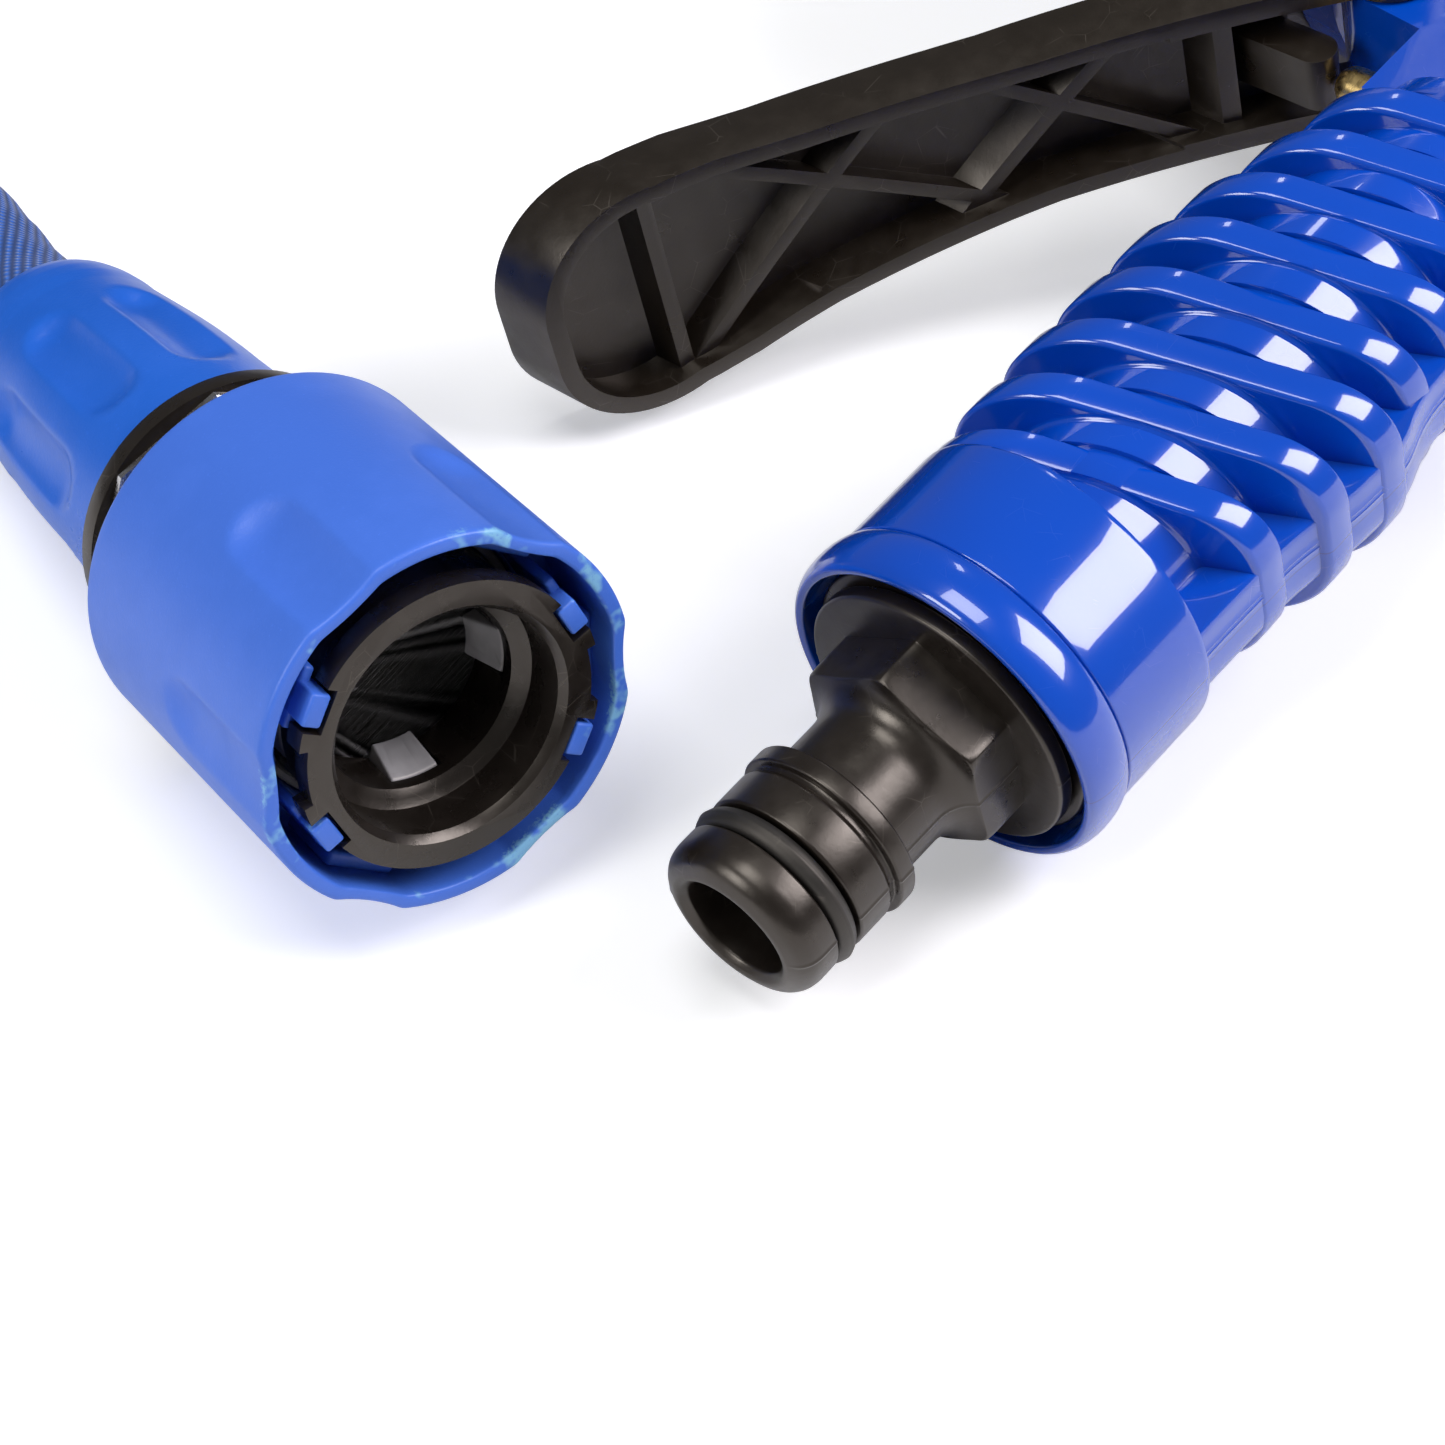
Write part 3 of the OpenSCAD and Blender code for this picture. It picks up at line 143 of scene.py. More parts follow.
def round_corners(profile, radius, steps=4):
    """A closed profile with each corner rounded, as far as its sides allow."""
    out = []
    for i, point in enumerate(profile):
        here = np.array(point[:2], float)
        limit = point[2] if len(point) > 2 else radius
        before = np.array(profile[i - 1][:2], float) - here
        after = np.array(profile[(i + 1) % len(profile)][:2], float) - here
        cut = min(limit, 0.45 * min(np.linalg.norm(before), np.linalg.norm(after)))
        start = here + before / np.linalg.norm(before) * cut
        end = here + after / np.linalg.norm(after) * cut
        for t in np.linspace(0, 1, steps + 1):
            out.append((1 - t) ** 2 * start + 2 * t * (1 - t) * here + t**2 * end)
    return np.array(out)


def spread(profile, step):
    """The same closed profile with long sides cut up, so that a shape can bend along them."""
    out = []
    for i, here in enumerate(profile):
        after = profile[(i + 1) % len(profile)]
        parts = max(1, int(np.linalg.norm(after - here) / step))
        out += [here + (after - here) * k / parts for k in range(parts)]
    return np.array(out)


def turned(name, profile, sides, shape=None):
    """A turned ring from a closed profile of (radius, height). shape may change the radius."""
    profile = np.vstack([profile, profile[:1]])
    angle = np.linspace(0, 2 * np.pi, sides + 1)
    radius = np.repeat(profile[:, :1], sides + 1, 1)
    height = np.repeat(profile[:, 1:], sides + 1, 1)
    angle = np.repeat(angle[None, :], len(profile), 0)
    if shape:
        radius = shape(radius, height, angle)
    return wrap(name, np.stack([radius * np.cos(angle), radius * np.sin(angle), height], 2))


def scale_uv(piece, across, down):
    """Stretches the grid's UV map from a unit square to millimetres."""
    uv = piece.data.uv_layers.active.data
    values = np.zeros(len(uv) * 2)
    uv.foreach_get("uv", values)
    values = values.reshape(-1, 2) * [across, down]
    uv.foreach_set("uv", values.reshape(-1))


print("helpers ready")

# %% [markdown]
# ## Helpers that finish a mesh
# Small moulded details start as a cube that is bevelled. Copies of the measured solids get their
# triangles merged into faces and their edges rounded, because no moulded edge is truly sharp.


# %% Edges, joining and placing
def use_modifier(piece, kind, **settings):
    """Adds a modifier and applies it."""
    bpy.ops.object.select_all(action="DESELECT")
    bpy.context.view_layer.objects.active = piece
    piece.select_set(True)
    modifier = piece.modifiers.new(kind.lower(), kind)
    for key, value in settings.items():
        setattr(modifier, key, value)
    bpy.ops.object.modifier_apply(modifier=modifier.name)


def shade(piece, degrees=35):
    """Smooth shading, with edges sharper than this kept crisp."""
    bpy.ops.object.select_all(action="DESELECT")
    bpy.context.view_layer.objects.active = piece
    piece.select_set(True)
    bpy.ops.object.shade_smooth_by_angle(angle=math.radians(degrees))


def block(low, high, edge, place=Matrix()):
    """A box between two corners with rounded edges."""
    low, high = Vector(low), Vector(high)
    bpy.ops.object.select_all(action="DESELECT")
    bpy.ops.mesh.primitive_cube_add(size=1)
    piece = bpy.context.object
    size = high - low
    piece.data.transform(place @ Matrix.Translation((low + high) / 2) @ Matrix.Diagonal((*size, 1)))
    use_modifier(piece, "BEVEL", width=edge, segments=3, limit_method="ANGLE")
    return piece


def join(pieces, name):
    """Several objects as one."""
    bpy.ops.object.select_all(action="DESELECT")
    for piece in pieces:
        piece.select_set(True)
    bpy.context.view_layer.objects.active = pieces[0]
    bpy.ops.object.join()
    pieces[0].name = name
    return pieces[0]


def settle(piece, place):
    """Moves a piece drawn in millimetres to its place in the frame, in metres."""
    piece.data.transform(Matrix.Scale(MM, 4) @ place)
    return piece


def copy_of(piece, name, place=Matrix()):
    """A copy with its own mesh."""
    twin = piece.copy()
    twin.data = piece.data.copy()
    twin.name = name
    twin.data.transform(place)
    bpy.context.scene.collection.objects.link(twin)
    return twin


def rounded_solid(node, name, edge, flat=0.4):
    """A copy of a measured solid with its faces merged and its edges rounded."""
    piece = copy_of(frame["nodes"][node], name)
    piece.parent = None
    piece.matrix_world = Matrix()
    bpy.ops.object.select_all(action="DESELECT")
    bpy.context.view_layer.objects.active = piece
    piece.select_set(True)
    bpy.ops.object.mode_set(mode="EDIT")
    bpy.ops.mesh.select_all(action="SELECT")
    bpy.ops.mesh.remove_doubles(threshold=1e-6)
    bpy.ops.mesh.dissolve_limited(angle_limit=math.radians(flat))
    bpy.ops.object.mode_set(mode="OBJECT")
    if edge:
        use_modifier(piece, "BEVEL", width=edge * MM, segments=3, limit_method="ANGLE",
                     angle_limit=math.radians(38), use_clamp_overlap=True)
    shade(piece)
    return piece


def hand_in(piece, body, slot, finish, *nodes):
    """Tells the frame what a piece rides on, its finish and the solids it stands for."""
    piece.data.materials.clear()
    piece.data.materials.append(finish)
    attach(piece, body)
    if nodes:
        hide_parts(*nodes)


print("finishing helpers ready")

# %% [markdown]
# ## The woven hose
# The hose runs from the coupler to a round coil, and its far coupler lies on top of the coil. It is one
# soft tube of a fixed length, so it is one skin along one path. A bevelled curve would do for a plain
# tube, but only a mesh of our own can carry the jacket's ripples. The coil winds inwards in its lower
# layer, climbs in half a turn and winds outwards again. A last half turn climbs on top of it.

# %% Coil
HOSE_R = 7.5
HOSE_HEADING = MOUTH_HEADING + 180
CUFF_AT = np.array([-63.5111, 60.4066, 9.35484])
COIL_MID = np.array([14, 234, 0])
COIL_R, COIL_PITCH, COIL_RISE, LAYER_TURNS, COIL_START = 94, 16, 15.7, 2, 180
LAYER_DEG = LAYER_TURNS * 360
COIL_DEG = 2 * LAYER_DEG + 180


def along(degrees):
    """A level step of one millimetre on a heading."""
    return np.array([math.cos(math.radians(degrees)), math.sin(math.radians(degrees)), 0])


def up(height):
    """A step straight up."""
    return np.array([0, 0, height])


def ease(u):
    """A slow start and a slow stop between 0 and 1."""
    u = min(max(u, 0), 1)
    return u * u * (3 - 2 * u)


def coil_radius(t):
    """Radius of the coil's path after t degrees."""
    if t > LAYER_DEG + 180:
        t = COIL_DEG - t
    if t < LAYER_DEG:
        return COIL_R - COIL_PITCH * t / 360
    return COIL_R - COIL_PITCH * (LAYER_TURNS + math.sin(math.radians(t - LAYER_DEG)) / 2 / math.pi)


def coil_point(t):
    """A point of the coil's path after t degrees."""
    height = HOSE_R + COIL_RISE * ease((t - LAYER_DEG) / 180)
    return COIL_MID + coil_radius(t) * along(COIL_START - t) + up(height)


coil_path = [coil_point(t) for t in range(0, COIL_DEG + 1, 15)]
print("points in the coil:", len(coil_path))

# %% Lead from the coupler to the coil
CUFF_RUN, DOWN_RUN, STRAIGHT_RUN, BEND_ARM = 8, 15, 22, 50


def tail_way(heading):
    """The way that a coupler's tail points, on a heading and down to what it lies on."""
    tilt = math.radians(COUPLER_TILT)
    return math.cos(tilt) * along(heading) - up(math.sin(tilt))


level = np.array([1, 1, 0])
bend_from = CUFF_AT * level + STRAIGHT_RUN * along(HOSE_HEADING) + up(HOSE_R)
arms = [bend_from, bend_from + BEND_ARM * along(HOSE_HEADING),
        coil_path[0] - BEND_ARM * along(COIL_START - 90), coil_path[0]]
bend = [(1 - u) ** 3 * arms[0] + 3 * u * (1 - u) ** 2 * arms[1] + 3 * u * u * (1 - u) * arms[2]
        + u**3 * arms[3] for u in np.linspace(0, 1, 11)]
lead_path = [CUFF_AT, CUFF_AT + CUFF_RUN * tail_way(HOSE_HEADING),
             CUFF_AT * level + DOWN_RUN * along(HOSE_HEADING) + up(HOSE_R), *bend]
print("lead, mm:", round(float(np.linalg.norm(np.diff(lead_path, axis=0), axis=1).sum())))

# %% End that lies on the coil
CLIMB_DEG, CLIMB_OUT, TOP_R = 90, 2, 64
FAR_LIFT = 2 * HOSE_R + COIL_RISE + 1
end_deg = COIL_DEG + CLIMB_DEG
top_mid = COIL_MID + (COIL_R + CLIMB_OUT - TOP_R) * along(COIL_START - end_deg)


def climb_point(t):
    """A quarter turn climbs onto the coil and swings out a little."""
    u = ease((t - COIL_DEG) / CLIMB_DEG)
    return (COIL_MID + (COIL_R + CLIMB_OUT * u) * along(COIL_START - t)
            + up(HOSE_R + COIL_RISE + (FAR_LIFT - COIL_RISE) * u))


def top_point(t):
    """Then a tighter quarter turn lies on top."""
    return top_mid + TOP_R * along(COIL_START - t) + up(FAR_LIFT + HOSE_R)


far_cuff_at = (top_point(end_deg + CLIMB_DEG) * level + DOWN_RUN * along(FAR_HEADING)
               + up(FAR_LIFT + CUFF_AT[2]))
end_path = [climb_point(t) for t in range(COIL_DEG + 15, end_deg + 1, 15)]
end_path += [top_point(t) for t in range(end_deg + 15, end_deg + CLIMB_DEG + 1, 15)]
end_path += [far_cuff_at + CUFF_RUN * tail_way(FAR_HEADING + 180), far_cuff_at]
hose_path = np.array([*lead_path[:-1], *coil_path, *end_path])

# %% [markdown]
# The jacket is slack over the rubber tube, so it bunches into shallow ripples. They are real shape, a
# fraction of a millimetre deep. The weave itself is far finer, so it belongs in the finish.

# %% Jacket over the path
RIPPLE_FINE, RIPPLE_BROAD, RIPPLE_ROOM = 0.10, 0.08, 0.15


def smooth_path(points, step):
    """Points along a path at an even step, on a smooth curve through the given ones."""
    points = np.asarray(points)
    before = np.vstack([2 * points[:1] - points[1:2], points[:-1]])
    after = np.vstack([points[1:], 2 * points[-1:] - points[-2:-1]])
    slope = (after - before) / 2
    fine = []
    for i in range(len(points) - 1):
        t = np.linspace(0, 1, 12, endpoint=False)[:, None]
        fine.append((2 * t**3 - 3 * t**2 + 1) * points[i] + (t**3 - 2 * t**2 + t) * slope[i]
                    + (3 * t**2 - 2 * t**3) * points[i + 1] + (t**3 - t**2) * slope[i + 1])
    fine = np.vstack([*fine, points[-1:]])
    run = np.concatenate([[0], np.cumsum(np.linalg.norm(np.diff(fine, axis=0), axis=1))])
    even = np.linspace(0, run[-1], int(run[-1] / step) + 1)
    return np.stack([np.interp(even, run, fine[:, k]) for k in range(3)], 1), even


def jacket(name, path, radius, sides=36, step=2.0):
    """A woven tube along a path, with ripples, and UV in millimetres: round it, and along it."""
    line, run = smooth_path(path, step)
    heading = np.gradient(line, axis=0)
    heading /= np.linalg.norm(heading, axis=1)[:, None]
    side = np.cross(heading, [0, 0, 1])
    side /= np.linalg.norm(side, axis=1)[:, None]
    top = np.cross(side, heading)
    angle = np.linspace(0, 2 * np.pi, sides + 1)
    down = run[:, None]
    ripple = RIPPLE_FINE * np.sin(down * 0.9 + 2.0 * np.sin(angle * 2 + down * 0.05))
    ripple += RIPPLE_BROAD * np.sin(down * 0.37 + 3.0 * np.sin(angle + down * 0.021))
    r = (radius - RIPPLE_ROOM + ripple)[:, :, None]
    rows = line[:, None, :] + r * (
        np.cos(angle)[None, :, None] * side[:, None, :] + np.sin(angle)[None, :, None] * top[:, None, :]
    )
    caps = [np.repeat(line[[k]], sides + 1, 0)[None] for k in (0, -1)]
    piece = wrap(name, np.vstack([caps[0], rows, caps[1]]))
    scale_uv(piece, 2 * math.pi * radius, run[-1])
    shade(piece, 60)
    return settle(piece, Matrix())


hose = jacket("woven_hose", hose_path, HOSE_R)
print("hose faces:", len(hose.data.polygons))

# %% [markdown]
# ## Finishes
# Each finish is a small node tree on Object coordinates, in metres. Moulded plastic gets a faint
# unevenness and fine scratches, satin plastic a sandy grain, and the jacket a twill weave from its UV
# map. The grain is real size, so it looks right from any distance.


# %% Node helpers
def new_finish(name, color, roughness, **sockets):
    """A material with one shader, and the few values that are the same all over it."""
    finish = bpy.data.materials.new(name)
    finish.use_nodes = True
    shader = finish.node_tree.nodes["Principled BSDF"]
    shader.inputs["Base Color"].default_value = (*color, 1)
    shader.inputs["Roughness"].default_value = roughness
    for key, value in sockets.items():
        shader.inputs[key.replace("_", " ")].default_value = value
    return finish, shader


def node(finish, kind, inputs=None, **settings):
    """Adds a node, sets its properties and plugs values or sockets into its inputs."""
    made = finish.node_tree.nodes.new(kind)
    for key, value in settings.items():
        setattr(made, key, value)
    for key, value in (inputs or {}).items():
        if isinstance(value, bpy.types.NodeSocket):
            finish.node_tree.links.new(value, made.inputs[key])
        else:
            made.inputs[key].default_value = value
    return made


def link(finish, source, target):
    """Joins two sockets."""
    finish.node_tree.links.new(source, target)


def object_point(finish, place=None):
    """Object coordinates in metres, or in the millimetres of a placed assembly."""
    coordinates = node(finish, "ShaderNodeTexCoord")
    if place is None:
        return coordinates.outputs["Object"]
    back = (Matrix.Scale(MM, 4) @ place).inverted()
    mapping = node(finish, "ShaderNodeMapping", {"Vector": coordinates.outputs["Object"]})
    mapping.inputs["Location"].default_value = back.translation
    mapping.inputs["Rotation"].default_value = back.to_euler()
    mapping.inputs["Scale"].default_value = back.to_scale()
    return mapping.outputs["Vector"]


def noise(finish, point, scale, detail=3, rough=0.5):
    """Grey noise of a real scale: about 1 / scale metres a lump."""
    return node(finish, "ShaderNodeTexNoise", {"Vector": point, "Scale": scale, "Detail": detail,
                                               "Roughness": rough}).outputs["Fac"]


def ramp(finish, value, low, high, to_low=0.0, to_high=1.0):
    """Maps a value from one range to another, and stops at its ends."""
    return node(finish, "ShaderNodeMapRange", {"Value": value, "From Min": low, "From Max": high,
                                               "To Min": to_low, "To Max": to_high}).outputs["Result"]


def blend_color(finish, factor, first, second):
    """A mix of two colours by a factor."""
    mix = node(finish, "ShaderNodeMix", data_type="RGBA")
    link(finish, factor, mix.inputs["Factor"])
    for index, color in ((6, first), (7, second)):
        if isinstance(color, bpy.types.NodeSocket):
            link(finish, color, mix.inputs[index])
        else:
            mix.inputs[index].default_value = (*color, 1)
    return mix.outputs[2]


def math_node(finish, operation, a, b=0.0):
    """One sum on two values or sockets."""
    return node(finish, "ShaderNodeMath", {0: a, 1: b}, operation=operation).outputs[0]


def bump(finish, shader, height, strength, depth_mm):
    """Small relief from a height between 0 and 1."""
    made = node(finish, "ShaderNodeBump", {"Height": height, "Strength": strength,
                                           "Distance": depth_mm * MM})
    link(finish, made.outputs["Normal"], shader.inputs["Normal"])


print("node helpers ready")

# %% [markdown]
# ## Glossy blue of the gun
# The gun's shell is hard, polished plastic. A picture could carry its scuffs, but it would need a UV map
# and would blur close up. So noise in real units makes them: clouds in the roughness, and the edges of
# a few large cells as scratches. A clear coat gives sharp highlights over the deeper blue.

# %% Glossy blue
MOULD_LINE_Z, MOULD_LINE_HALF, MOULD_LINE_Y = -1.2, 0.04, -9.0


def scratches(finish, point, scale, width=0.012, rate=0.5):
    """Thin broken lines: the edges of large noise cells, kept in a few places."""
    bent = node(finish, "ShaderNodeTexVoronoi", {"Vector": point, "Scale": scale, "Randomness": 1.0},
                feature="DISTANCE_TO_EDGE").outputs["Distance"]
    line = ramp(finish, bent, 0, width, 1, 0)
    place = ramp(finish, noise(finish, point, scale * 0.7, 2), rate, rate + 0.08)
    return math_node(finish, "MULTIPLY", line, place)


def glossy_blue(name, color, place):
    """Hard gloss, a little uneven, with fine scuffs and a thin mould line along the handle."""
    finish, shader = new_finish(name, color, 0.12, Specular_IOR_Level=0.35, Coat_Weight=1.0,
                                 Coat_Roughness=0.035, Coat_IOR=1.62)
    point = object_point(finish)
    cloudy = noise(finish, point, 60, 4, 0.6)
    scuff = scratches(finish, point, 420, 0.010, 0.56)
    rough = math_node(finish, "ADD", ramp(finish, cloudy, 0.3, 0.7, 0.14, 0.24),
                      math_node(finish, "MULTIPLY", scuff, 0.25))
    link(finish, rough, shader.inputs["Roughness"])
    tint = blend_color(finish, ramp(finish, noise(finish, point, 25, 2), 0.35, 0.65),
                       color, [c * 1.15 for c in color])
    local = node(finish, "ShaderNodeSeparateXYZ", {0: object_point(finish, place)})
    offset = math_node(finish, "ADD", local.outputs["Z"], -MOULD_LINE_Z)
    near_line = ramp(finish, math_node(finish, "ABSOLUTE", offset), MOULD_LINE_HALF, MOULD_LINE_HALF + 0.05,
                     1, 0)
    behind = ramp(finish, local.outputs["Y"], MOULD_LINE_Y - 0.5, MOULD_LINE_Y, 1, 0)
    seam = math_node(finish, "MULTIPLY", near_line, behind)
    tint = blend_color(finish, math_node(finish, "MULTIPLY", seam, 0.6), tint, (0.004, 0.02, 0.14))
    link(finish, tint, shader.inputs["Base Color"])
    relief = math_node(finish, "SUBTRACT", ramp(finish, noise(finish, point, 900, 3), 0.3, 0.7, 0, 0.25),
                       math_node(finish, "MULTIPLY", seam, 0.8))
    bump(finish, shader, relief, 0.25, 0.05)
    return finish


blue_gloss = glossy_blue("gun_blue", (0.0, 0.060, 0.46), gun_place)
print("made", blue_gloss.name)

# %% [markdown]
# ## Satin blue of the couplers
# Sleeve and nut come from a mould with a sandy texture. It could be displaced into the mesh, but its
# grain is finer than half a millimetre, so a bump does it with far fewer faces. The near sleeve's rim
# also gets pale chips, where it has been knocked.


# %% Satin blue
def satin_blue(name, color, roughness, grain, place=None):
    """Spark-eroded mould texture: a fine sandy grain, paler where hands have rubbed it."""
    finish, shader = new_finish(name, color, roughness, Specular_IOR_Level=0.45)
    point = object_point(finish)
    sand = noise(finish, point, grain, 2, 0.7)
    worn = ramp(finish, noise(finish, point, 45, 5, 0.65), 0.40, 0.75)
    tint = blend_color(finish, worn, color, [min(1, c * 1.12 + 0.012) for c in color])
    tint = blend_color(finish, ramp(finish, sand, 0.62, 0.80, 0, 0.25), tint,
                       [min(1, c * 1.5 + 0.03) for c in color])
    if place:
        height = node(finish, "ShaderNodeSeparateXYZ", {0: object_point(finish, place)}).outputs["Z"]
        ragged = math_node(finish, "ADD", height, ramp(finish, sand, 0.3, 0.7, -0.5, 0.5))
        at_rim = ramp(finish, ragged, -0.9, -0.2)
        chips = ramp(finish, noise(finish, point, 110, 4, 0.7), 0.56, 0.62)
        tint = blend_color(finish, math_node(finish, "MULTIPLY", at_rim, chips), tint, (0.22, 0.50, 0.78))
    link(finish, tint, shader.inputs["Base Color"])
    link(finish, ramp(finish, worn, 0, 1, roughness + 0.04, roughness - 0.06), shader.inputs["Roughness"])
    bump(finish, shader, sand, 0.45, 0.05)
    return finish


blue_satin = satin_blue("sleeve_blue", (0.055, 0.165, 0.68), 0.36, 3200, coupler_place)
blue_nut = satin_blue("nut_blue", (0.012, 0.120, 0.60), 0.30, 2600)
print("made", blue_satin.name, blue_nut.name)

# %% [markdown]
# ## Black, grey and rubber
# Coupler body, nipple and trigger are warm black nylon with a soft sheen. One function makes them, the
# grey claws and the rubber, because only colour, roughness and grain differ. Plain black would hide the
# edges, so small pits and a few pale scuffs break up the highlights.


# %% Black and grey plastic
def satin_black(name, color, roughness, grain=2400, depth=0.05):
    """Warm black nylon: a soft sheen, small pits and a few pale scuffs."""
    finish, shader = new_finish(name, color, roughness, Specular_IOR_Level=0.8,
                                 Specular_Tint=(1, 0.90, 0.80, 1))
    point = object_point(finish)
    pits = noise(finish, point, grain, 3, 0.6)
    lumps = noise(finish, point, 380, 3, 0.5)
    scuff = scratches(finish, point, 300, 0.014, 0.55)
    tint = blend_color(finish, math_node(finish, "MULTIPLY", scuff, 0.3), color, (0.16, 0.14, 0.12))
    tint = blend_color(finish, ramp(finish, lumps, 0.45, 0.7, 0, 0.35), tint, [c * 1.5 for c in color])
    link(finish, tint, shader.inputs["Base Color"])
    link(finish, ramp(finish, lumps, 0.3, 0.7, roughness - 0.05, roughness + 0.07),
         shader.inputs["Roughness"])
    relief = math_node(finish, "ADD", math_node(finish, "MULTIPLY", pits, 0.6), lumps)
    bump(finish, shader, relief, 0.35, depth)
    return finish


black_body = satin_black("coupler_black", (0.009, 0.0068, 0.0055), 0.28)
black_nipple = satin_black("nipple_black", (0.010, 0.0075, 0.006), 0.31, 1500, 0.05)
black_lever = satin_black("trigger_black", (0.010, 0.007, 0.0045), 0.32, 2600)
black_dial = satin_black("dial_black", (0.016, 0.014, 0.013), 0.36)
claw_grey = satin_black("claw_grey", (0.42, 0.41, 0.42), 0.38, 1800, 0.03)
seal_rubber = satin_black("seal_rubber", (0.012, 0.012, 0.012), 0.50, 1600, 0.06)
tube_rubber = satin_black("tube_rubber", (0.035, 0.035, 0.036), 0.55, 1600, 0.05)
print("made black, grey and rubber")

# %% [markdown]
# ## Steel and brass
# Springs and pins are drawn steel, and the valve's stem is turned brass. Both are all metal to the
# shader, and fine marks in the roughness spread their highlights as on real wire.


# %% Metals
def metal(name, color, roughness, scale):
    """Drawn or turned metal, with fine marks."""
    finish, shader = new_finish(name, color, roughness, Metallic=1.0)
    point = object_point(finish)
    marks = noise(finish, point, scale, 4, 0.7)
    link(finish, ramp(finish, marks, 0.3, 0.7, roughness - 0.07, roughness + 0.08),
         shader.inputs["Roughness"])
    bump(finish, shader, marks, 0.2, 0.02)
    return finish


steel = metal("spring_steel", (0.62, 0.62, 0.64), 0.26, 2600)
brass = metal("turned_brass", (0.72, 0.52, 0.22), 0.28, 1800)
print("made metals")

# %% [markdown]
# ## Cloth of the jacket
# The jacket is a fine twill. Modelled yarns would need millions of faces, so two sets of waves cross in
# the UV map instead, and a bump lifts the yarns. Its colour carries painted light and shade: pale on the
# ribs, dark in the grooves between them. The UV map is in millimetres, so the pattern follows every bend
# of the hose at its real size.


# %% Woven jacket
def woven(name, color, yarn_mm):
    """A twill: diagonal ribs notched where a second set of waves crosses, painted pale on the ribs and dark
    in the grooves as painted light and shade.
    """
    finish, shader = new_finish(name, color, 0.72, Sheen_Weight=0.35, Sheen_Roughness=0.4)
    uv = node(finish, "ShaderNodeUVMap")
    parts = node(finish, "ShaderNodeSeparateXYZ", {0: uv.outputs["UV"]})
    across, down = parts.outputs["X"], parts.outputs["Y"]
    turns = 2 * math.pi / yarn_mm
    step = math_node(finish, "ADD", math_node(finish, "MULTIPLY", across, turns),
                     math_node(finish, "MULTIPLY", down, turns * 0.5))
    other = math_node(finish, "SUBTRACT", math_node(finish, "MULTIPLY", across, turns),
                      math_node(finish, "MULTIPLY", down, turns * 1.4))
    rib = ramp(finish, math_node(finish, "SINE", step), -1, 1)
    cross = ramp(finish, math_node(finish, "SINE", other), -1, 1)
    weave = math_node(finish, "MULTIPLY", rib, ramp(finish, cross, 0, 1, 0.55, 1))
    point = object_point(finish)
    fuzz = noise(finish, point, 2600, 3, 0.6)
    # Painted light and shade: the colour is pale on the ribs' tops and dark in the grooves between the
    # yarns.
    rib_light_groove_shade = math_node(finish, "MULTIPLY", weave, ramp(finish, fuzz, 0.3, 0.7, 0.8, 1.05))
    tint = blend_color(finish, rib_light_groove_shade, [c * 0.32 for c in color], [min(1, c * 1.35) for c in color])
    link(finish, tint, shader.inputs["Base Color"])
    bump(finish, shader, weave, 0.8, 0.28)
    return finish


jacket_cloth = woven("woven_jacket", (0.028, 0.125, 0.50), 1.15)
print("made", jacket_cloth.name)

# %% [markdown]
# ## The hose is handed in
# The frame is told which body the hose rides on, its finish, and the three solids that it stands for.
# The pieces that hang on its far end are gathered at the end, when the far coupler is there.

# %% Hose goes into the frame
hand_in(hose, "hose_line", "woven_jacket", jacket_cloth, "hose_lead", "hose_coil", "hose_end")

# %% [markdown]
# ## Release sleeve
# The sleeve is a turned cup with six thumb scallops that start at its rim. They could be cut with
# cylinders, but a cut leaves a sharp edge and long thin faces. Here a scallop is part of a cylinder with
# a round end, so its depth follows from the distance to the middle line of that cylinder, and its edge
# is softened in the same sum. Six blocks and four hooks inside the cup reach in to the coupler body.

# %% Sleeve shell
SLEEVE_R, SLEEVE_LEN, SLEEVE_EDGE = 17.45, 31.1, 0.5
RIM_WALL, CUP_DEPTH, CAM_LEN, LAND_LEN = 1.4, 10, 4.8, 4.2
CAM_R, LAND_R, SPRING_ROOM_R = 13.0, 12.03, 15.2
SCALLOPS, SCALLOP_TURN, SCALLOP_LEN, SCALLOP_DEPTH, SCALLOP_R = 6, 25, 16.2, 1.15, 5.8
SCALLOP_END, PAST_RIM, RIM_SHARE, RIM_RUN, SCOOP_SKIN = 3.4, 40, 0.6, 7, 2.0


def scooped(turn, count, deep_from, deep_to, across, depth, outer, soft=0.1, rim_share=1.0):
    """A change of radius: round-ended scoops between two heights, with softened edges."""

    def shape(radius, height, angle):
        pitch = 2 * math.pi / count
        off = (angle - math.radians(turn) + pitch / 2) % pitch - pitch / 2
        sideways = off * outer
        past = np.maximum(0, deep_to - height) + np.maximum(0, height - deep_from)
        distance = np.hypot(sideways, past)
        sink = np.sqrt(np.maximum(across**2 - distance**2, 0)) - (across - depth)
        sink = soft * np.logaddexp(0, sink / soft)
        sink = sink * np.interp(height, [-RIM_RUN, 0], [1, rim_share])
        fade = np.clip(radius - (outer - SCOOP_SKIN), 0, 1)
        return radius - np.where(distance < across, sink, 0) * fade

    return shape


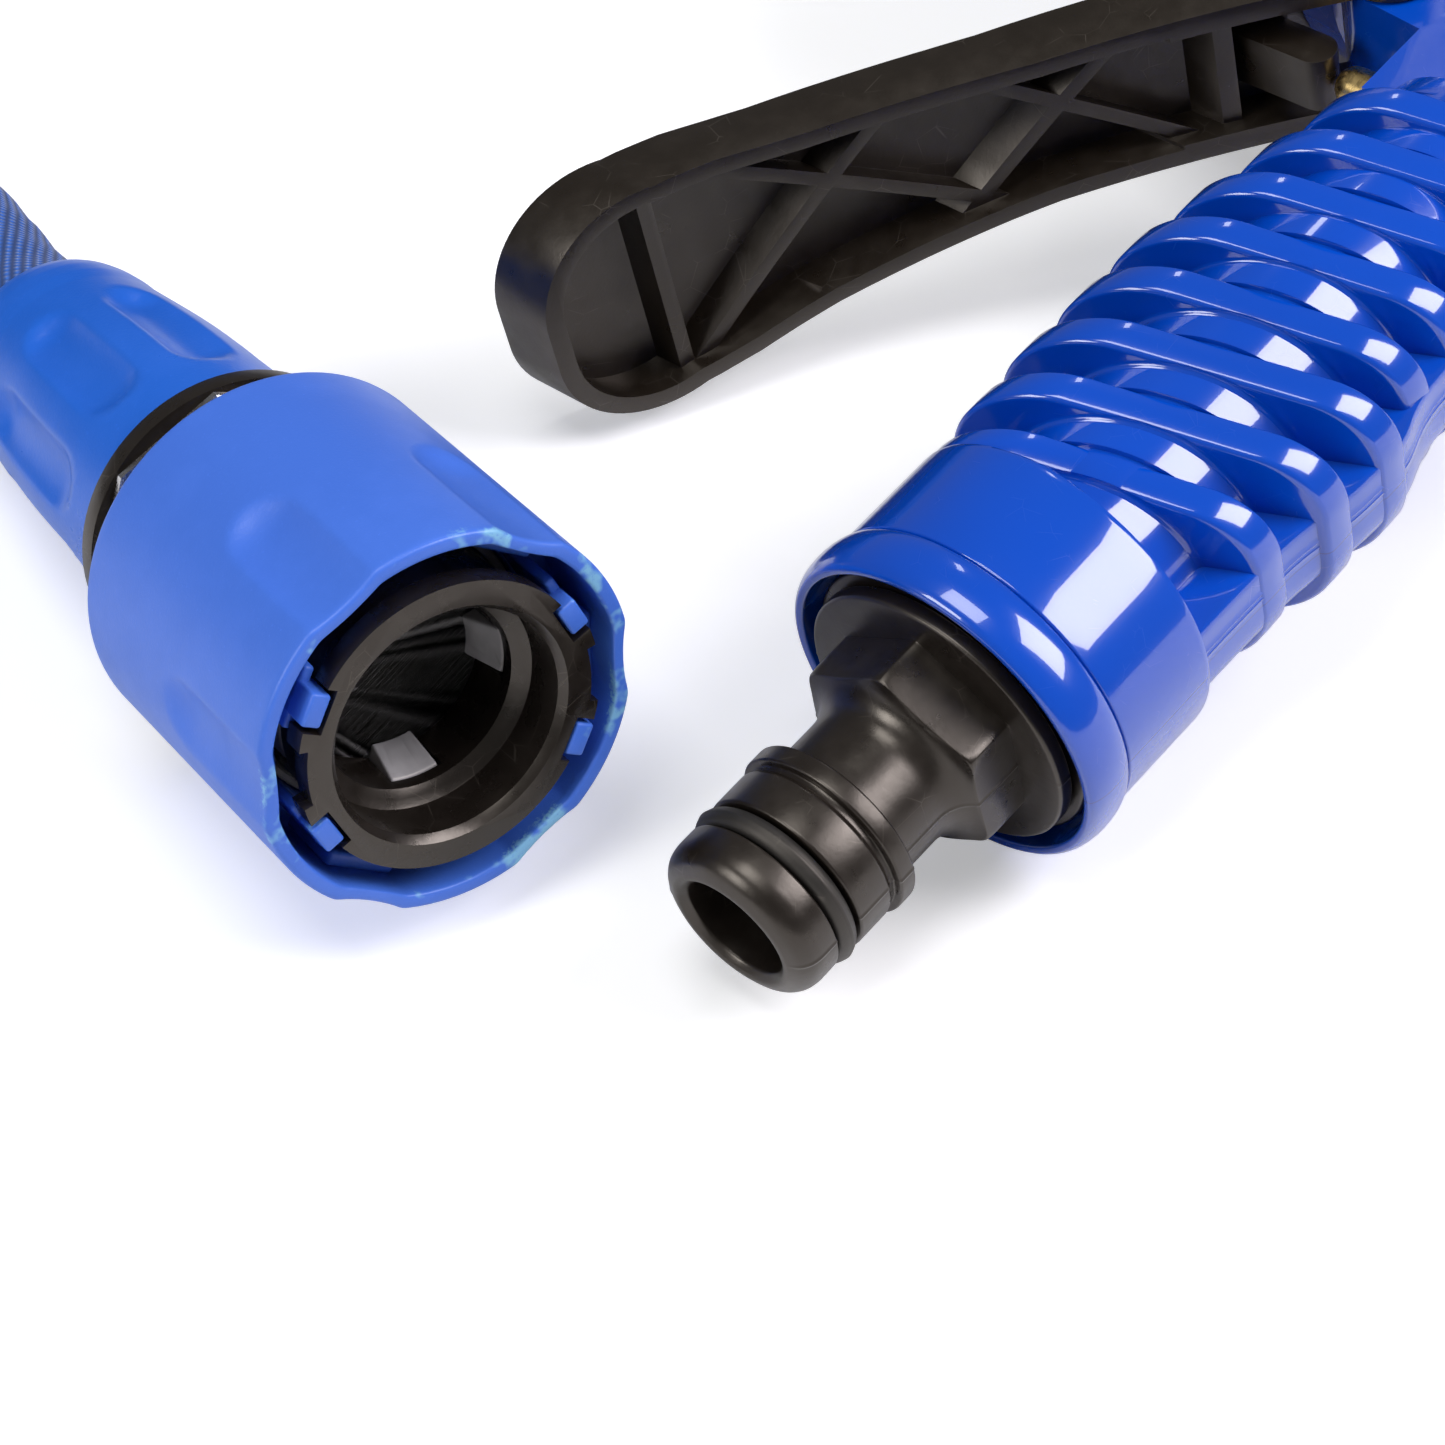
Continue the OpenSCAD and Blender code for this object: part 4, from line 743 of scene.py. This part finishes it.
sleeve_profile = round_corners([
    (CAM_R, -CUP_DEPTH, 0.2), (SLEEVE_R - RIM_WALL, -CUP_DEPTH, 0.5), (SLEEVE_R - RIM_WALL, 0, 0.35),
    (SLEEVE_R, 0, 0.5), (SLEEVE_R, -SLEEVE_LEN, SLEEVE_EDGE), (SPRING_ROOM_R, -SLEEVE_LEN, 0.3),
    (SPRING_ROOM_R, -CUP_DEPTH - CAM_LEN - LAND_LEN, 0.2), (LAND_R, -CUP_DEPTH - CAM_LEN - LAND_LEN, 0.2),
    (LAND_R, -CUP_DEPTH - CAM_LEN, 0.2), (CAM_R, -CUP_DEPTH - CAM_LEN, 0.2)], 0.3)
sleeve_shell = turned("sleeve_shell", spread(sleeve_profile, 0.6), 384, scooped(
    SCALLOP_TURN, SCALLOPS, PAST_RIM, SCALLOP_END - SCALLOP_LEN, SCALLOP_R, SCALLOP_DEPTH, SLEEVE_R,
    rim_share=RIM_SHARE))
shade(sleeve_shell, 40)
print("sleeve faces:", len(sleeve_shell.data.polygons))

# %% Hooks and blocks in the cup
FACE_Z, FRONT_FLANGE_T, HOOK_GAP, HOOK_T = 0.4, 2.2, 0.1, 1.6
HOOK_Z = FACE_Z - FRONT_FLANGE_T - HOOK_GAP
HOOK_W, HOOK_TIP_R, HOOK_OUT_R, HOOK_TURN, HOOK_SPREAD = 3, 12.4, 14.2, 85, 27
HOOK_FOOT, BLOCK_HALF, BLOCK_IN_R, BLOCK_WALL, BLOCK_TOP = 2.8, 3.4, 14.1, 1.9, -3.2
sleeve_parts = [sleeve_shell]
for middle in (0, 180):
    for side in (-1, 1):
        at = turned_by(HOOK_TURN + middle + side * HOOK_SPREAD, "Z")
        sleeve_parts.append(block((HOOK_TIP_R, -HOOK_W / 2, HOOK_Z - HOOK_T),
                                  (HOOK_OUT_R, HOOK_W / 2, FACE_Z), 0.28, at))
        sleeve_parts.append(block((CAM_R + 0.2, -HOOK_FOOT, -CUP_DEPTH - 1),
                                  (HOOK_OUT_R, HOOK_FOOT, HOOK_Z), 0.3, at))
for k in range(SCALLOPS):
    at = turned_by(SCALLOP_TURN + 360 / SCALLOPS * k, "Z")
    sleeve_parts.append(block((BLOCK_IN_R, -BLOCK_HALF, -CUP_DEPTH - 0.5),
                              (SLEEVE_R - BLOCK_WALL, BLOCK_HALF, BLOCK_TOP), 0.4, at))
for part in sleeve_parts[1:]:
    shade(part, 50)
sleeve_drawn = join(sleeve_parts, "release_sleeve_drawn")
for end, place in HOSE_ENDS:
    sleeve = settle(copy_of(sleeve_drawn, end + "thumb_sleeve"), place)
    hand_in(sleeve, end + "sleeve", "sleeve_blue", blue_satin, end + "release_sleeve")
bpy.data.objects.remove(sleeve_drawn)

# %% [markdown]
# ## Hose nut
# The nut squeezes a split collet on the hose. It is turned as the sleeve is, and the same function sinks
# its eight finger scoops. They lie in the nut's front, and its tail rounds off to the hose.

# %% Nut
NUT_Z, NUT_LEN, NUT_GRIP_LEN, THREAD_END_Z = -39.2, 36.2, 28.6, -51
NUT_FRONT_R, NUT_TAIL_R, NUT_END_R = 12.3, 10.7, 8.5
THREAD_R, NUT_BORE_R, NUT_MOUTH_R = 9.98, 9.5, 7.85
SCOOPS, SCOOP_TURN, SCOOP_FROM, SCOOP_TO, SCOOP_R, SCOOP_DEPTH = 8, 24.4, 9.6, 21.7, 4.4, 1.3
nut_end_z = NUT_Z - NUT_LEN
tail_curve = [(NUT_END_R + (NUT_TAIL_R - NUT_END_R) * math.cos(math.radians(a)),
               NUT_Z - NUT_GRIP_LEN - (NUT_LEN - NUT_GRIP_LEN) * math.sin(math.radians(a)), 0.3)
              for a in range(0, 91, 15)]
nut_profile = round_corners([
    (THREAD_R, NUT_Z, 0.2), (NUT_FRONT_R, NUT_Z, 0.45), (NUT_FRONT_R, NUT_Z - 10, 4),
    (NUT_FRONT_R - 0.4, NUT_Z - 18, 4), *tail_curve,
    (NUT_MOUTH_R, nut_end_z, 0.25), (NUT_MOUTH_R, nut_end_z + 3, 0.2),
    (NUT_BORE_R, nut_end_z + 5.5, 0.2), (NUT_BORE_R, THREAD_END_Z, 0.1), (THREAD_R, THREAD_END_Z, 0.1)], 0.3)
nut_drawn = turned("nut_drawn", spread(nut_profile, 0.7), 320, scooped(
    SCOOP_TURN, SCOOPS, NUT_Z - SCOOP_FROM, NUT_Z - SCOOP_TO, SCOOP_R, SCOOP_DEPTH, NUT_FRONT_R, 0.12))
shade(nut_drawn, 40)
for end, place in HOSE_ENDS:
    nut = settle(copy_of(nut_drawn, end + "scooped_nut"), place)
    hand_in(nut, end + "nut", "blue_plastic", blue_nut, end + "hose_nut")
bpy.data.objects.remove(nut_drawn)

# %% [markdown]
# ## Coupler body and claws
# These solids already have the right shape. Copies with rounded edges take their place, because the
# light catches the edges of the mouth.

# %% Coupler bodies and claws
for end in ("", "far_"):
    mouth = rounded_solid(end + "coupler_body", end + "mouth_body", 0.22)
    hand_in(mouth, "hose_line", "black_plastic", black_body, end + "coupler_body")
    claws = rounded_solid(end + "locking_claws", end + "rounded_claws", 0.25)
    hand_in(claws, "hose_line", "grey_plastic", claw_grey, end + "locking_claws")
    print(end + "mouth_body", len(mouth.data.polygons))

# %% [markdown]
# The end of the jacket goes on into the nut, where the collet grips it. It is a short turned tube with
# the same cloth on it, because the hose's own skin stops at the nut.

# %% Jacket end in the nut
CUFF_IN_R, CUFF_BACK, CUFF_FRONT, CUFF_GIRTH = 5.95, -76.9, -53.3, 50


def cuff(name, place):
    """The last of the jacket. CUFF_GIRTH is the way once round its section."""
    profile = round_corners([(CUFF_IN_R, CUFF_BACK), (HOSE_R, CUFF_BACK), (HOSE_R, CUFF_FRONT),
                             (CUFF_IN_R, CUFF_FRONT)], 0.4)
    piece = turned(name, spread(profile, 1.5), 72)
    scale_uv(piece, 2 * math.pi * HOSE_R, CUFF_GIRTH)
    shade(piece, 60)
    return settle(piece, place)


for end, place in HOSE_ENDS:
    jacket_end = cuff(end + "jacket_cuff", place)
    hand_in(jacket_end, "hose_line", "woven_jacket", jacket_cloth, end + "hose_cuff")
print("cuff faces:", len(jacket_end.data.polygons))

# %% [markdown]
# ## Click nipple
# The nipple is one turned moulding with a hexagon at its root. A hexagon is a section whose radius
# depends on the angle, so the whole piece can still be one skin: where the hexagon is, the radius
# shrinks towards each flat. Two thin mould seams run along it, in line with the trigger and opposite.

# %% Nipple
NIPPLE_LEN, NIPPLE_BORE_R, BEAD_R, COLLAR_R = 26.3, 5, 7.95, 8.1
RIDGE_R, RIDGE_BACK, RIDGE_W, NECK_R, FLARE_R = 8.5, 12.8, 2, 6.95, 3.1
HEX_AF, HEX_LEN, FLANGE_R, FLANGE_T, FLANGE_GAP, FLANGE_BACK_R = 17.8, 4.9, 13.3, 1.6, 0.5, 14.1
O_RING_R, O_RING_OUT_R, STEM_R, STEM_BACK = 1.1, 8.32, 8.2, -14
HEX_SOFT, SEAM_HIGH, SEAM_WIDE, NIPPLE_SIDES = 0.12, 0.09, 0.16, 720
GROOVE_R = O_RING_OUT_R - 2 * O_RING_R - 0.03
GROOVE_X = NIPPLE_LEN - 6.9
groove_end = GROOVE_X + 2 * O_RING_R + 0.4
ridge_front = RIDGE_BACK + RIDGE_W
hex_corner = HEX_AF / 2 / math.cos(math.radians(30))
flare = [(NECK_R + FLARE_R * (1 - math.cos(math.radians(a))),
          HEX_LEN + FLARE_R * (1 - math.sin(math.radians(a))), 0.3) for a in range(0, 91, 10)]
back_face = -2 * FLANGE_T - FLANGE_GAP
nipple_profile = round_corners([
    (NIPPLE_BORE_R, STEM_BACK), (NIPPLE_BORE_R, NIPPLE_LEN - 0.6, 0.2),
    (NIPPLE_BORE_R + 0.6, NIPPLE_LEN, 0.25),
    (BEAD_R - 1.9, NIPPLE_LEN, 0.8), (BEAD_R - 0.8, NIPPLE_LEN - 0.5, 0.8),
    (BEAD_R - 0.2, NIPPLE_LEN - 1.3, 0.8), (BEAD_R, NIPPLE_LEN - 2.2, 0.5), (BEAD_R, groove_end, 0.3),
    (GROOVE_R, groove_end, 0.2), (GROOVE_R, GROOVE_X, 0.2), (COLLAR_R, GROOVE_X, 0.3),
    (COLLAR_R, ridge_front + 0.9, 0.2), (COLLAR_R - 0.35, ridge_front + 0.6, 0.2),
    (COLLAR_R - 0.35, ridge_front, 0.15), (RIDGE_R, ridge_front - 0.1, 0.25),
    (RIDGE_R, RIDGE_BACK + 0.1, 0.3), (NECK_R, RIDGE_BACK, 0.25), *flare,
    (hex_corner - 0.1, HEX_LEN - 0.9, 0.6), (hex_corner - 0.1, 0, 0.25), (FLANGE_R, 0, 0.35),
    (FLANGE_R, -FLANGE_T, 0.35), (FLANGE_R - 1.2, -FLANGE_T, 0.12),
    (FLANGE_R - 1.2, -FLANGE_T - FLANGE_GAP, 0.12), (FLANGE_BACK_R, -FLANGE_T - FLANGE_GAP, 0.35),
    (FLANGE_BACK_R, back_face, 0.35), (STEM_R, back_face, 0.2), (STEM_R, STEM_BACK, 0.2)], 0.25)


def nipple_shape(radius, height, angle):
    """The hexagon's flats and two fine mould seams."""
    sector = math.radians(60)
    off = (angle + sector / 2) % sector - sector / 2
    flat = HEX_AF / 2 / np.cos(off)
    hexed = -HEX_SOFT * np.logaddexp(-radius / HEX_SOFT, -flat / HEX_SOFT)
    in_hex = (height > 0.02) & (height < HEX_LEN + 0.3) & (radius > NECK_R + 0.5)
    radius = np.where(in_hex, np.minimum(radius, hexed), radius)
    from_seam = np.abs((angle + math.pi / 2) % math.pi - math.pi / 2) * radius
    seam = SEAM_HIGH * np.exp(-(from_seam / SEAM_WIDE) ** 2)
    on_outside = (radius > 6.4) & (height > -1.5) & ((height < GROOVE_X) | (height > groove_end))
    return radius + np.where(on_outside, seam, 0)


nipple = turned("turned_nipple", spread(nipple_profile, 1.2), NIPPLE_SIDES, nipple_shape)
shade(nipple, 30)
inlet_place = gun_place @ turned_by(-90, "Y") @ turned_by(90, "Z")
settle(nipple, inlet_place)
hand_in(nipple, "gun", "black_plastic", black_nipple, "click_nipple")

# %% [markdown]
# The O-ring seals the nipple in the coupler. A torus would do for a new ring seen from afar. A moulded
# ring has a thin line of flash where its mould closed, so we turn a section that bulges there.


# %% O-ring
def rubber_ring(name, middle_r, section_r, height, flash=0.06):
    """A moulded ring with a faint line of flash round its outside."""
    angle = np.linspace(0, 2 * np.pi, 48, endpoint=False)
    lump = section_r + flash * np.exp(-(((angle + np.pi) % (2 * np.pi) - np.pi) / 0.1) ** 2)
    profile = np.stack([middle_r + lump * np.cos(angle), height + lump * np.sin(angle)], 1)
    piece = turned(name, profile, 160)
    shade(piece, 60)
    return piece


o_ring = rubber_ring("moulded_o_ring", O_RING_OUT_R - O_RING_R, O_RING_R - 0.02, GROOVE_X + O_RING_R + 0.2)
settle(o_ring, inlet_place)
hand_in(o_ring, "gun", "rubber", seal_rubber, "nipple_o_ring")
print("O-ring ready")

# %% [markdown]
# ## Handle
# The grip is a smooth core with eight slanted fins and a spine that joins them at the back. The end
# ring, its bead, the plain band and the core are one turned piece.

# %% Ring, band and core
RING_R, RING_IN_R, BAND_R, BAND_END = 16.5, 15, 15.9, 17.4
BEAD_HALF, BEAD_T, BEAD_MID, SEAT_X, SEAT_T, RING_LIP, NECK_X = 2.6, 0.9, 3.2, 4.4, 1.4, 0.7, 76
CORE_OVAL = 0.88
CORE = [(BAND_END - 1, 12.2), (NECK_X - 26, 12.2), (NECK_X - 16, 11.3), (NECK_X - 7, 10), (NECK_X + 1, 9.4)]
bead = [(RING_R - BEAD_T + BEAD_T * math.sin(math.radians(a)),
         BEAD_MID - BEAD_HALF * math.cos(math.radians(a)), 0.3) for a in range(0, 181, 12)]
ring_profile = round_corners([
    (NIPPLE_BORE_R, SEAT_X + SEAT_T, 0.2), (RING_IN_R, SEAT_X + SEAT_T, 0.4), (RING_IN_R, RING_LIP, 0.5),
    *bead,
    (BAND_R, BEAD_MID + BEAD_HALF + 0.1, 0.3), (BAND_R, BAND_END, 1.1), (CORE[0][1], BAND_END, 0.9),
    *[(radius, x, 6) for x, radius in CORE[1:-1]],
    (CORE[-1][1], NECK_X + 1, 0.2), (NIPPLE_BORE_R, NECK_X + 1, 0.2)], 0.4, 6)
handle_place = gun_place @ turned_by(90, "Y")


def core_shape(radius, height, angle):
    """The core is a little narrower from front to back than from side to side."""
    oval = radius / np.sqrt(np.cos(angle) ** 2 + (np.sin(angle) / CORE_OVAL) ** 2)
    return np.where((height > BAND_END - 0.3) & (radius > NIPPLE_BORE_R + 1), oval, radius)


ring_and_core = turned("ring_and_core", spread(ring_profile, 2), 240, core_shape)
shade(ring_and_core, 40)
settle(ring_and_core, handle_place)
print("ring and core faces:", len(ring_and_core.data.polygons))

# %% [markdown]
# A fin could be a slab with bevelled edges, but its foot has to run softly into the round core. So each
# fin is a skin of loops: its outline up one face from the core, round the rim and down the other face.
# The outline is two round corners and the straight lines between them, worked out for each fin's place.

# %% Outline of a fin
FIN_COUNT, FIN_START, FIN_PITCH, FIN_T, FIN_SLANT, GRIP_HALF = 8, 22.8, 7.2, 3.3, 21, 14
FRONT_REACH = [(15, 13.4), (30, 14.5), (37, 14.8), (51, 14.7), (60, 13.6), (69, 11.7), (76, 10.7)]
BACK_REACH = [(15, 15), (24, 15.2), (30, 16.5), (37, 16.9), (43, 15), (60, 14.3), (76, 13.4)]
HALF_REACH = [(15, 0.95), (35, 1), (50, 1), (66, 0.9), (76, 0.82)]
FRONT_ROUND, BACK_ROUND, BACK_FLAT, FIN_SINK = 0.68, 0.55, 0.17, 0.25
slant_cos = math.cos(math.radians(FIN_SLANT))


def reach(table, x):
    """Straight-line lookup in a table."""
    return np.interp(x, *zip(*table))


def arc(center, radius, start, end, steps=24):
    """Points on a circle between two angles in degrees."""
    a = np.radians(np.linspace(start, end, steps))
    return np.array(center) + radius * np.stack([np.cos(a), np.sin(a)], 1)


def grip_outline(front, back, half):
    """The grip seen along the handle: broad and flat in front, narrower behind."""
    r1, r2 = half * FRONT_ROUND, half * BACK_ROUND
    c1, c2 = np.array([front - r1, half - r1]), np.array([r2 - back, BACK_FLAT * half])
    d = c2 - c1
    turn = 360 + math.degrees(math.atan2(d[1], d[0]) - math.acos((r1 - r2) / np.linalg.norm(d)))
    upper = np.vstack([arc(c1, r1, 0, turn), arc(c2, r2, turn, 180)])
    return np.vstack([upper, upper[::-1] * [1, -1]])


def polar(outline, sides):
    """The same outline as a radius at each angle, with its straight sides cut up first."""
    outline = spread(outline, 0.4)
    angle = np.unwrap(np.arctan2(outline[:, 1], outline[:, 0]))
    order = np.argsort(angle)
    at = np.linspace(0, 2 * np.pi, sides + 1)
    return at, np.interp(at, angle[order], np.hypot(*outline.T)[order], period=2 * np.pi)


print("outline radius:", round(float(polar(grip_outline(14, 15, 14), 8)[1][2]), 2))


# %% Fins
def rounded_fin(index, sides=256, rim=0.62, root=0.55):
    """One fin: up one face from the core, round the rim, and down the other face."""
    x = FIN_START + index * FIN_PITCH
    outline = grip_outline(reach(FRONT_REACH, x) / slant_cos, reach(BACK_REACH, x) / slant_cos,
                           GRIP_HALF * reach(HALF_REACH, x))
    at, outer = polar(outline, sides)
    oval = np.sqrt((np.cos(at) * slant_cos / CORE_OVAL) ** 2 + np.sin(at) ** 2)
    core = reach(CORE, x) / oval - FIN_SINK
    foot = core + FIN_SINK
    quarter = [math.radians(a) for a in np.linspace(0, 90, 6)[1:]]
    rows = [(core, -FIN_T - root)]
    rows += [(foot + root * (1 - math.cos(a)), -FIN_T - root + root * math.sin(a)) for a in quarter]
    for a in np.linspace(-90, 90, 13):
        a = math.radians(a)
        rows.append((outer - rim + rim * math.cos(a), -FIN_T / 2 + (FIN_T / 2 - rim) * np.sign(math.sin(a))
                     + rim * math.sin(a)))
    rows += [(foot + root * (1 - math.cos(a)), root - root * math.sin(a)) for a in reversed(quarter)]
    rows += [(core, root), rows[0]]
    shells = []
    for radius, along_fin in rows:
        points = np.stack([np.zeros_like(at), radius * np.cos(at), radius * np.sin(at)], 1)
        turn = np.array(Matrix.Rotation(math.radians(FIN_SLANT), 3, "Z"))
        shells.append(points @ turn.T + [x + along_fin / slant_cos, 0, 0])
    return wrap(f"fin_{index}", shells)


fins = [rounded_fin(i) for i in range(FIN_COUNT)]
for fin in fins:
    shade(fin, 40)
    settle(fin, gun_place)
print("fins:", len(fins), "faces each:", len(fins[0].data.polygons))

# %% [markdown]
# The spine is a rounded rib down the back. It follows the fins' back ends, which lie further along the
# handle than the fins start, because the fins slant. A running mean rounds off that line's bends. A
# fine double ridge down the middle is where the two halves of the mould met.

# %% Spine
SPINE_LOW, SPINE_TOP, SPINE_ROOT, SPINE_END = -4.6, 3.0, -4, NECK_X + 8
NECK_BACK, RIDGE_AT, RIDGE_FOOT, RIDGE_HIGH = 13, 0.3, 0.12, 0.1
slant_run = math.tan(math.radians(FIN_SLANT))
back_line = [(x + reach_back * slant_run, reach_back - 0.1) for x, reach_back in BACK_REACH]
back_line.append((SPINE_END, NECK_BACK - 2))
spine_x = np.arange(BAND_END - 1, SPINE_END, 0.5)
spine_y = -np.interp(spine_x, *zip(*back_line))
smooth = np.convolve(np.pad(spine_y, 4, mode="edge"), np.ones(9) / 9, "valid")
lower_half = [SPINE_LOW, SPINE_LOW + 0.12, SPINE_LOW + 0.4, *np.arange(SPINE_LOW + 0.9, -0.6, 0.5)]
upper_half = [*np.arange(0.6, SPINE_TOP - 0.6, 0.5), SPINE_TOP - 0.4, SPINE_TOP - 0.12, SPINE_TOP]
across = [*lower_half, -RIDGE_AT, -RIDGE_FOOT, RIDGE_FOOT, RIDGE_AT, *upper_half]
edge_drop = [0.5, 0.15, 0]
drop = [*edge_drop, *[0] * (len(across) - 6), *reversed(edge_drop)]


def spine_section(x, y):
    """One loop of the spine: out of the core, across the grip's back, and into the core again."""
    half = GRIP_HALF * reach(HALF_REACH, x)
    corner = BACK_ROUND * half
    section = [(SPINE_ROOT, SPINE_LOW)]
    for z, extra in zip(across, drop):
        bulge = corner - math.sqrt(corner**2 - max(0, abs(z) - BACK_FLAT * half) ** 2)
        ridge = RIDGE_HIGH if abs(abs(z) - RIDGE_AT) < 0.01 else 0
        section.append((y + bulge + extra - ridge, z))
    section += [(SPINE_ROOT, SPINE_TOP), (SPINE_ROOT, SPINE_LOW)]
    return np.column_stack([np.full(len(section), x), section])


spine_rows = [spine_section(x, y) for x, y in zip(spine_x, smooth)]
ends = [np.repeat(np.array([[x, SPINE_ROOT, 0]]), len(spine_rows[0]), 0) for x in (spine_x[0], spine_x[-1])]
spine = wrap("spine", [ends[0], *spine_rows, ends[1]])
shade(spine, 40)
settle(spine, gun_place)
print("spine faces:", len(spine.data.polygons))

# %% [markdown]
# ## Head of the gun
# Beyond the grip we keep the measured solid: a copy is cut off square beside the last fin with bisect,
# and its edges are rounded. The grip's pieces then join it in one object.

# %% Head, and the whole gun body
HEAD_FROM = 74.5
head = rounded_solid("gun_body", "gun_head", 0)
head.data.transform((Matrix.Scale(MM, 4) @ gun_place).inverted())
bpy.context.view_layer.objects.active = head
bpy.ops.object.mode_set(mode="EDIT")
bpy.ops.mesh.select_all(action="SELECT")
bpy.ops.mesh.bisect(plane_co=(HEAD_FROM, 0, 0), plane_no=(1, 0, 0), clear_inner=True, use_fill=True)
bpy.ops.object.mode_set(mode="OBJECT")
use_modifier(head, "BEVEL", width=0.5, segments=3, limit_method="ANGLE", angle_limit=math.radians(38),
             use_clamp_overlap=True)
shade(head, 35)
settle(head, gun_place)
gun = join([ring_and_core, *fins, spine, head], "gun_shell")
hand_in(gun, "gun", "blue_plastic", blue_gloss, "gun_body")

# %% [markdown]
# ## Trigger, dial and small parts
# The trigger and the dial keep their measured shape, with rounded edges, because the solids have all
# that shows. The seals, the springs and the valve are hidden, so their solids only get a finish.

# %% Trigger and spray dial
for node_name, name, body, slot, finish, edge in (
        ("trigger", "squeeze_trigger", "lever", "black_plastic", black_lever, 0.4),
        ("spray_dial", "lobed_dial", "dial", "black_plastic", black_dial, 0.35),
        ("dial_face", "pattern_face", "dial", "blue_plastic", blue_gloss, 0.25),
        ("dial_screw", "centre_screw", "gun", "steel", steel, 0.2),
        ("trigger_pin", "pivot_pin", "gun", "steel", steel, 0.25),
        ("valve_plug", "slotted_plug", "gun", "black_plastic", black_lever, 0.25)):
    piece = rounded_solid(node_name, name, edge)
    hand_in(piece, body, slot, finish, node_name)
    print(name, len(piece.data.polygons))

# %% Finishes of the solids that stay
KEPT = {
    "sleeve_spring": steel, "hose_collet": claw_grey, "hose_lining": tube_rubber,
    "far_sleeve_spring": steel, "far_hose_collet": claw_grey, "far_hose_lining": tube_rubber,
    "inlet_washer": seal_rubber, "valve_stem": brass, "valve_seat": seal_rubber,
    "stem_seals": seal_rubber, "valve_spring": steel, "dial_seal": seal_rubber,
    "port_seal": seal_rubber, "port_spring": steel, "detent_ball": steel, "detent_spring": steel,
}
for name, finish in KEPT.items():
    solid = frame["nodes"][name]
    solid.data.materials.clear()
    solid.data.materials.append(finish)
print("kept solids:", len(KEPT))

# %% [markdown]
# ## Pieces on the hose's far end
# The pieces that hang on the hose's far end are gathered and counted.

# %% Pieces on the hose's far end
far_pieces = [piece for piece in bpy.data.objects if piece.name.startswith("far_")
              and piece.name not in frame["nodes"]]
far_pieces += [frame["nodes"][name] for name in KEPT if name.startswith("far_")]
print("pieces on the hose's far end:", len(far_pieces))

# %% [markdown]
# ## Table and lamps
# A white table lies under a dim, plain sky. One big soft window of light on the right makes the bright
# patches on the glossy handle, and others light the set from above, behind and the left. The table is
# a little brighter to the camera than to the set, so that it looks white.

# %% Table
bpy.ops.object.select_all(action="DESELECT")
bpy.ops.mesh.primitive_plane_add(size=8, location=(0, 0, 0))
floor = bpy.context.object
floor.name = "table"
floor_white, floor_shader = new_finish("table_white", (0.88, 0.88, 0.885), 0.6, Specular_IOR_Level=0.2)
rays = node(floor_white, "ShaderNodeLightPath")
floor_shader.inputs["Emission Color"].default_value = (1, 1, 1, 1)
link(floor_white, ramp(floor_white, rays.outputs["Is Camera Ray"], 0, 1, 0, 0.40),
     floor_shader.inputs["Emission Strength"])
floor.data.materials.append(floor_white)
print("floor ready")

# %% [markdown]
# Each lamp is a rectangle, like a studio's soft box, because its shape shows in the gloss. Their sizes
# and places are metres, and each one points at a spot on the set.

# %% World and lamps
ON_SET = (-0.03, 0, 0.01)


def soft_window(name, size, place, target, watts, color=(1, 1, 1)):
    """A rectangular lamp that points at a target; all in metres."""
    lamp = bpy.data.lights.new(name, "AREA")
    lamp.shape = "RECTANGLE"
    lamp.size, lamp.size_y = size
    lamp.energy = watts
    lamp.color = color
    holder = bpy.data.objects.new(name, lamp)
    bpy.context.scene.collection.objects.link(holder)
    holder.location = place
    holder.rotation_euler = (Vector(target) - Vector(place)).to_track_quat("-Z", "Y").to_euler()
    return holder


world = bpy.data.worlds.new("tent")
bpy.context.scene.world = world
world.use_nodes = True
background = world.node_tree.nodes["Background"]
background.inputs["Color"].default_value = (0.97, 0.98, 1, 1)
background.inputs["Strength"].default_value = 0.13
soft_window("window_right", (0.36, 0.40), (0.26, -0.44, 0.50), (-0.03, -0.03, 0.01), 4.2, (0.98, 0.95, 1))
soft_window("window_top", (0.40, 0.40), (-0.22, 0.02, 0.85), ON_SET, 2.9)
soft_window("window_behind", (0.05, 0.14), (0.40, 0.26, 0.60), ON_SET, 0.12)
soft_window("window_left", (0.30, 0.34), (-0.70, 0.18, 0.42), (-0.06, 0, 0.01), 2.4)
bpy.context.scene.view_settings.view_transform = "Standard"
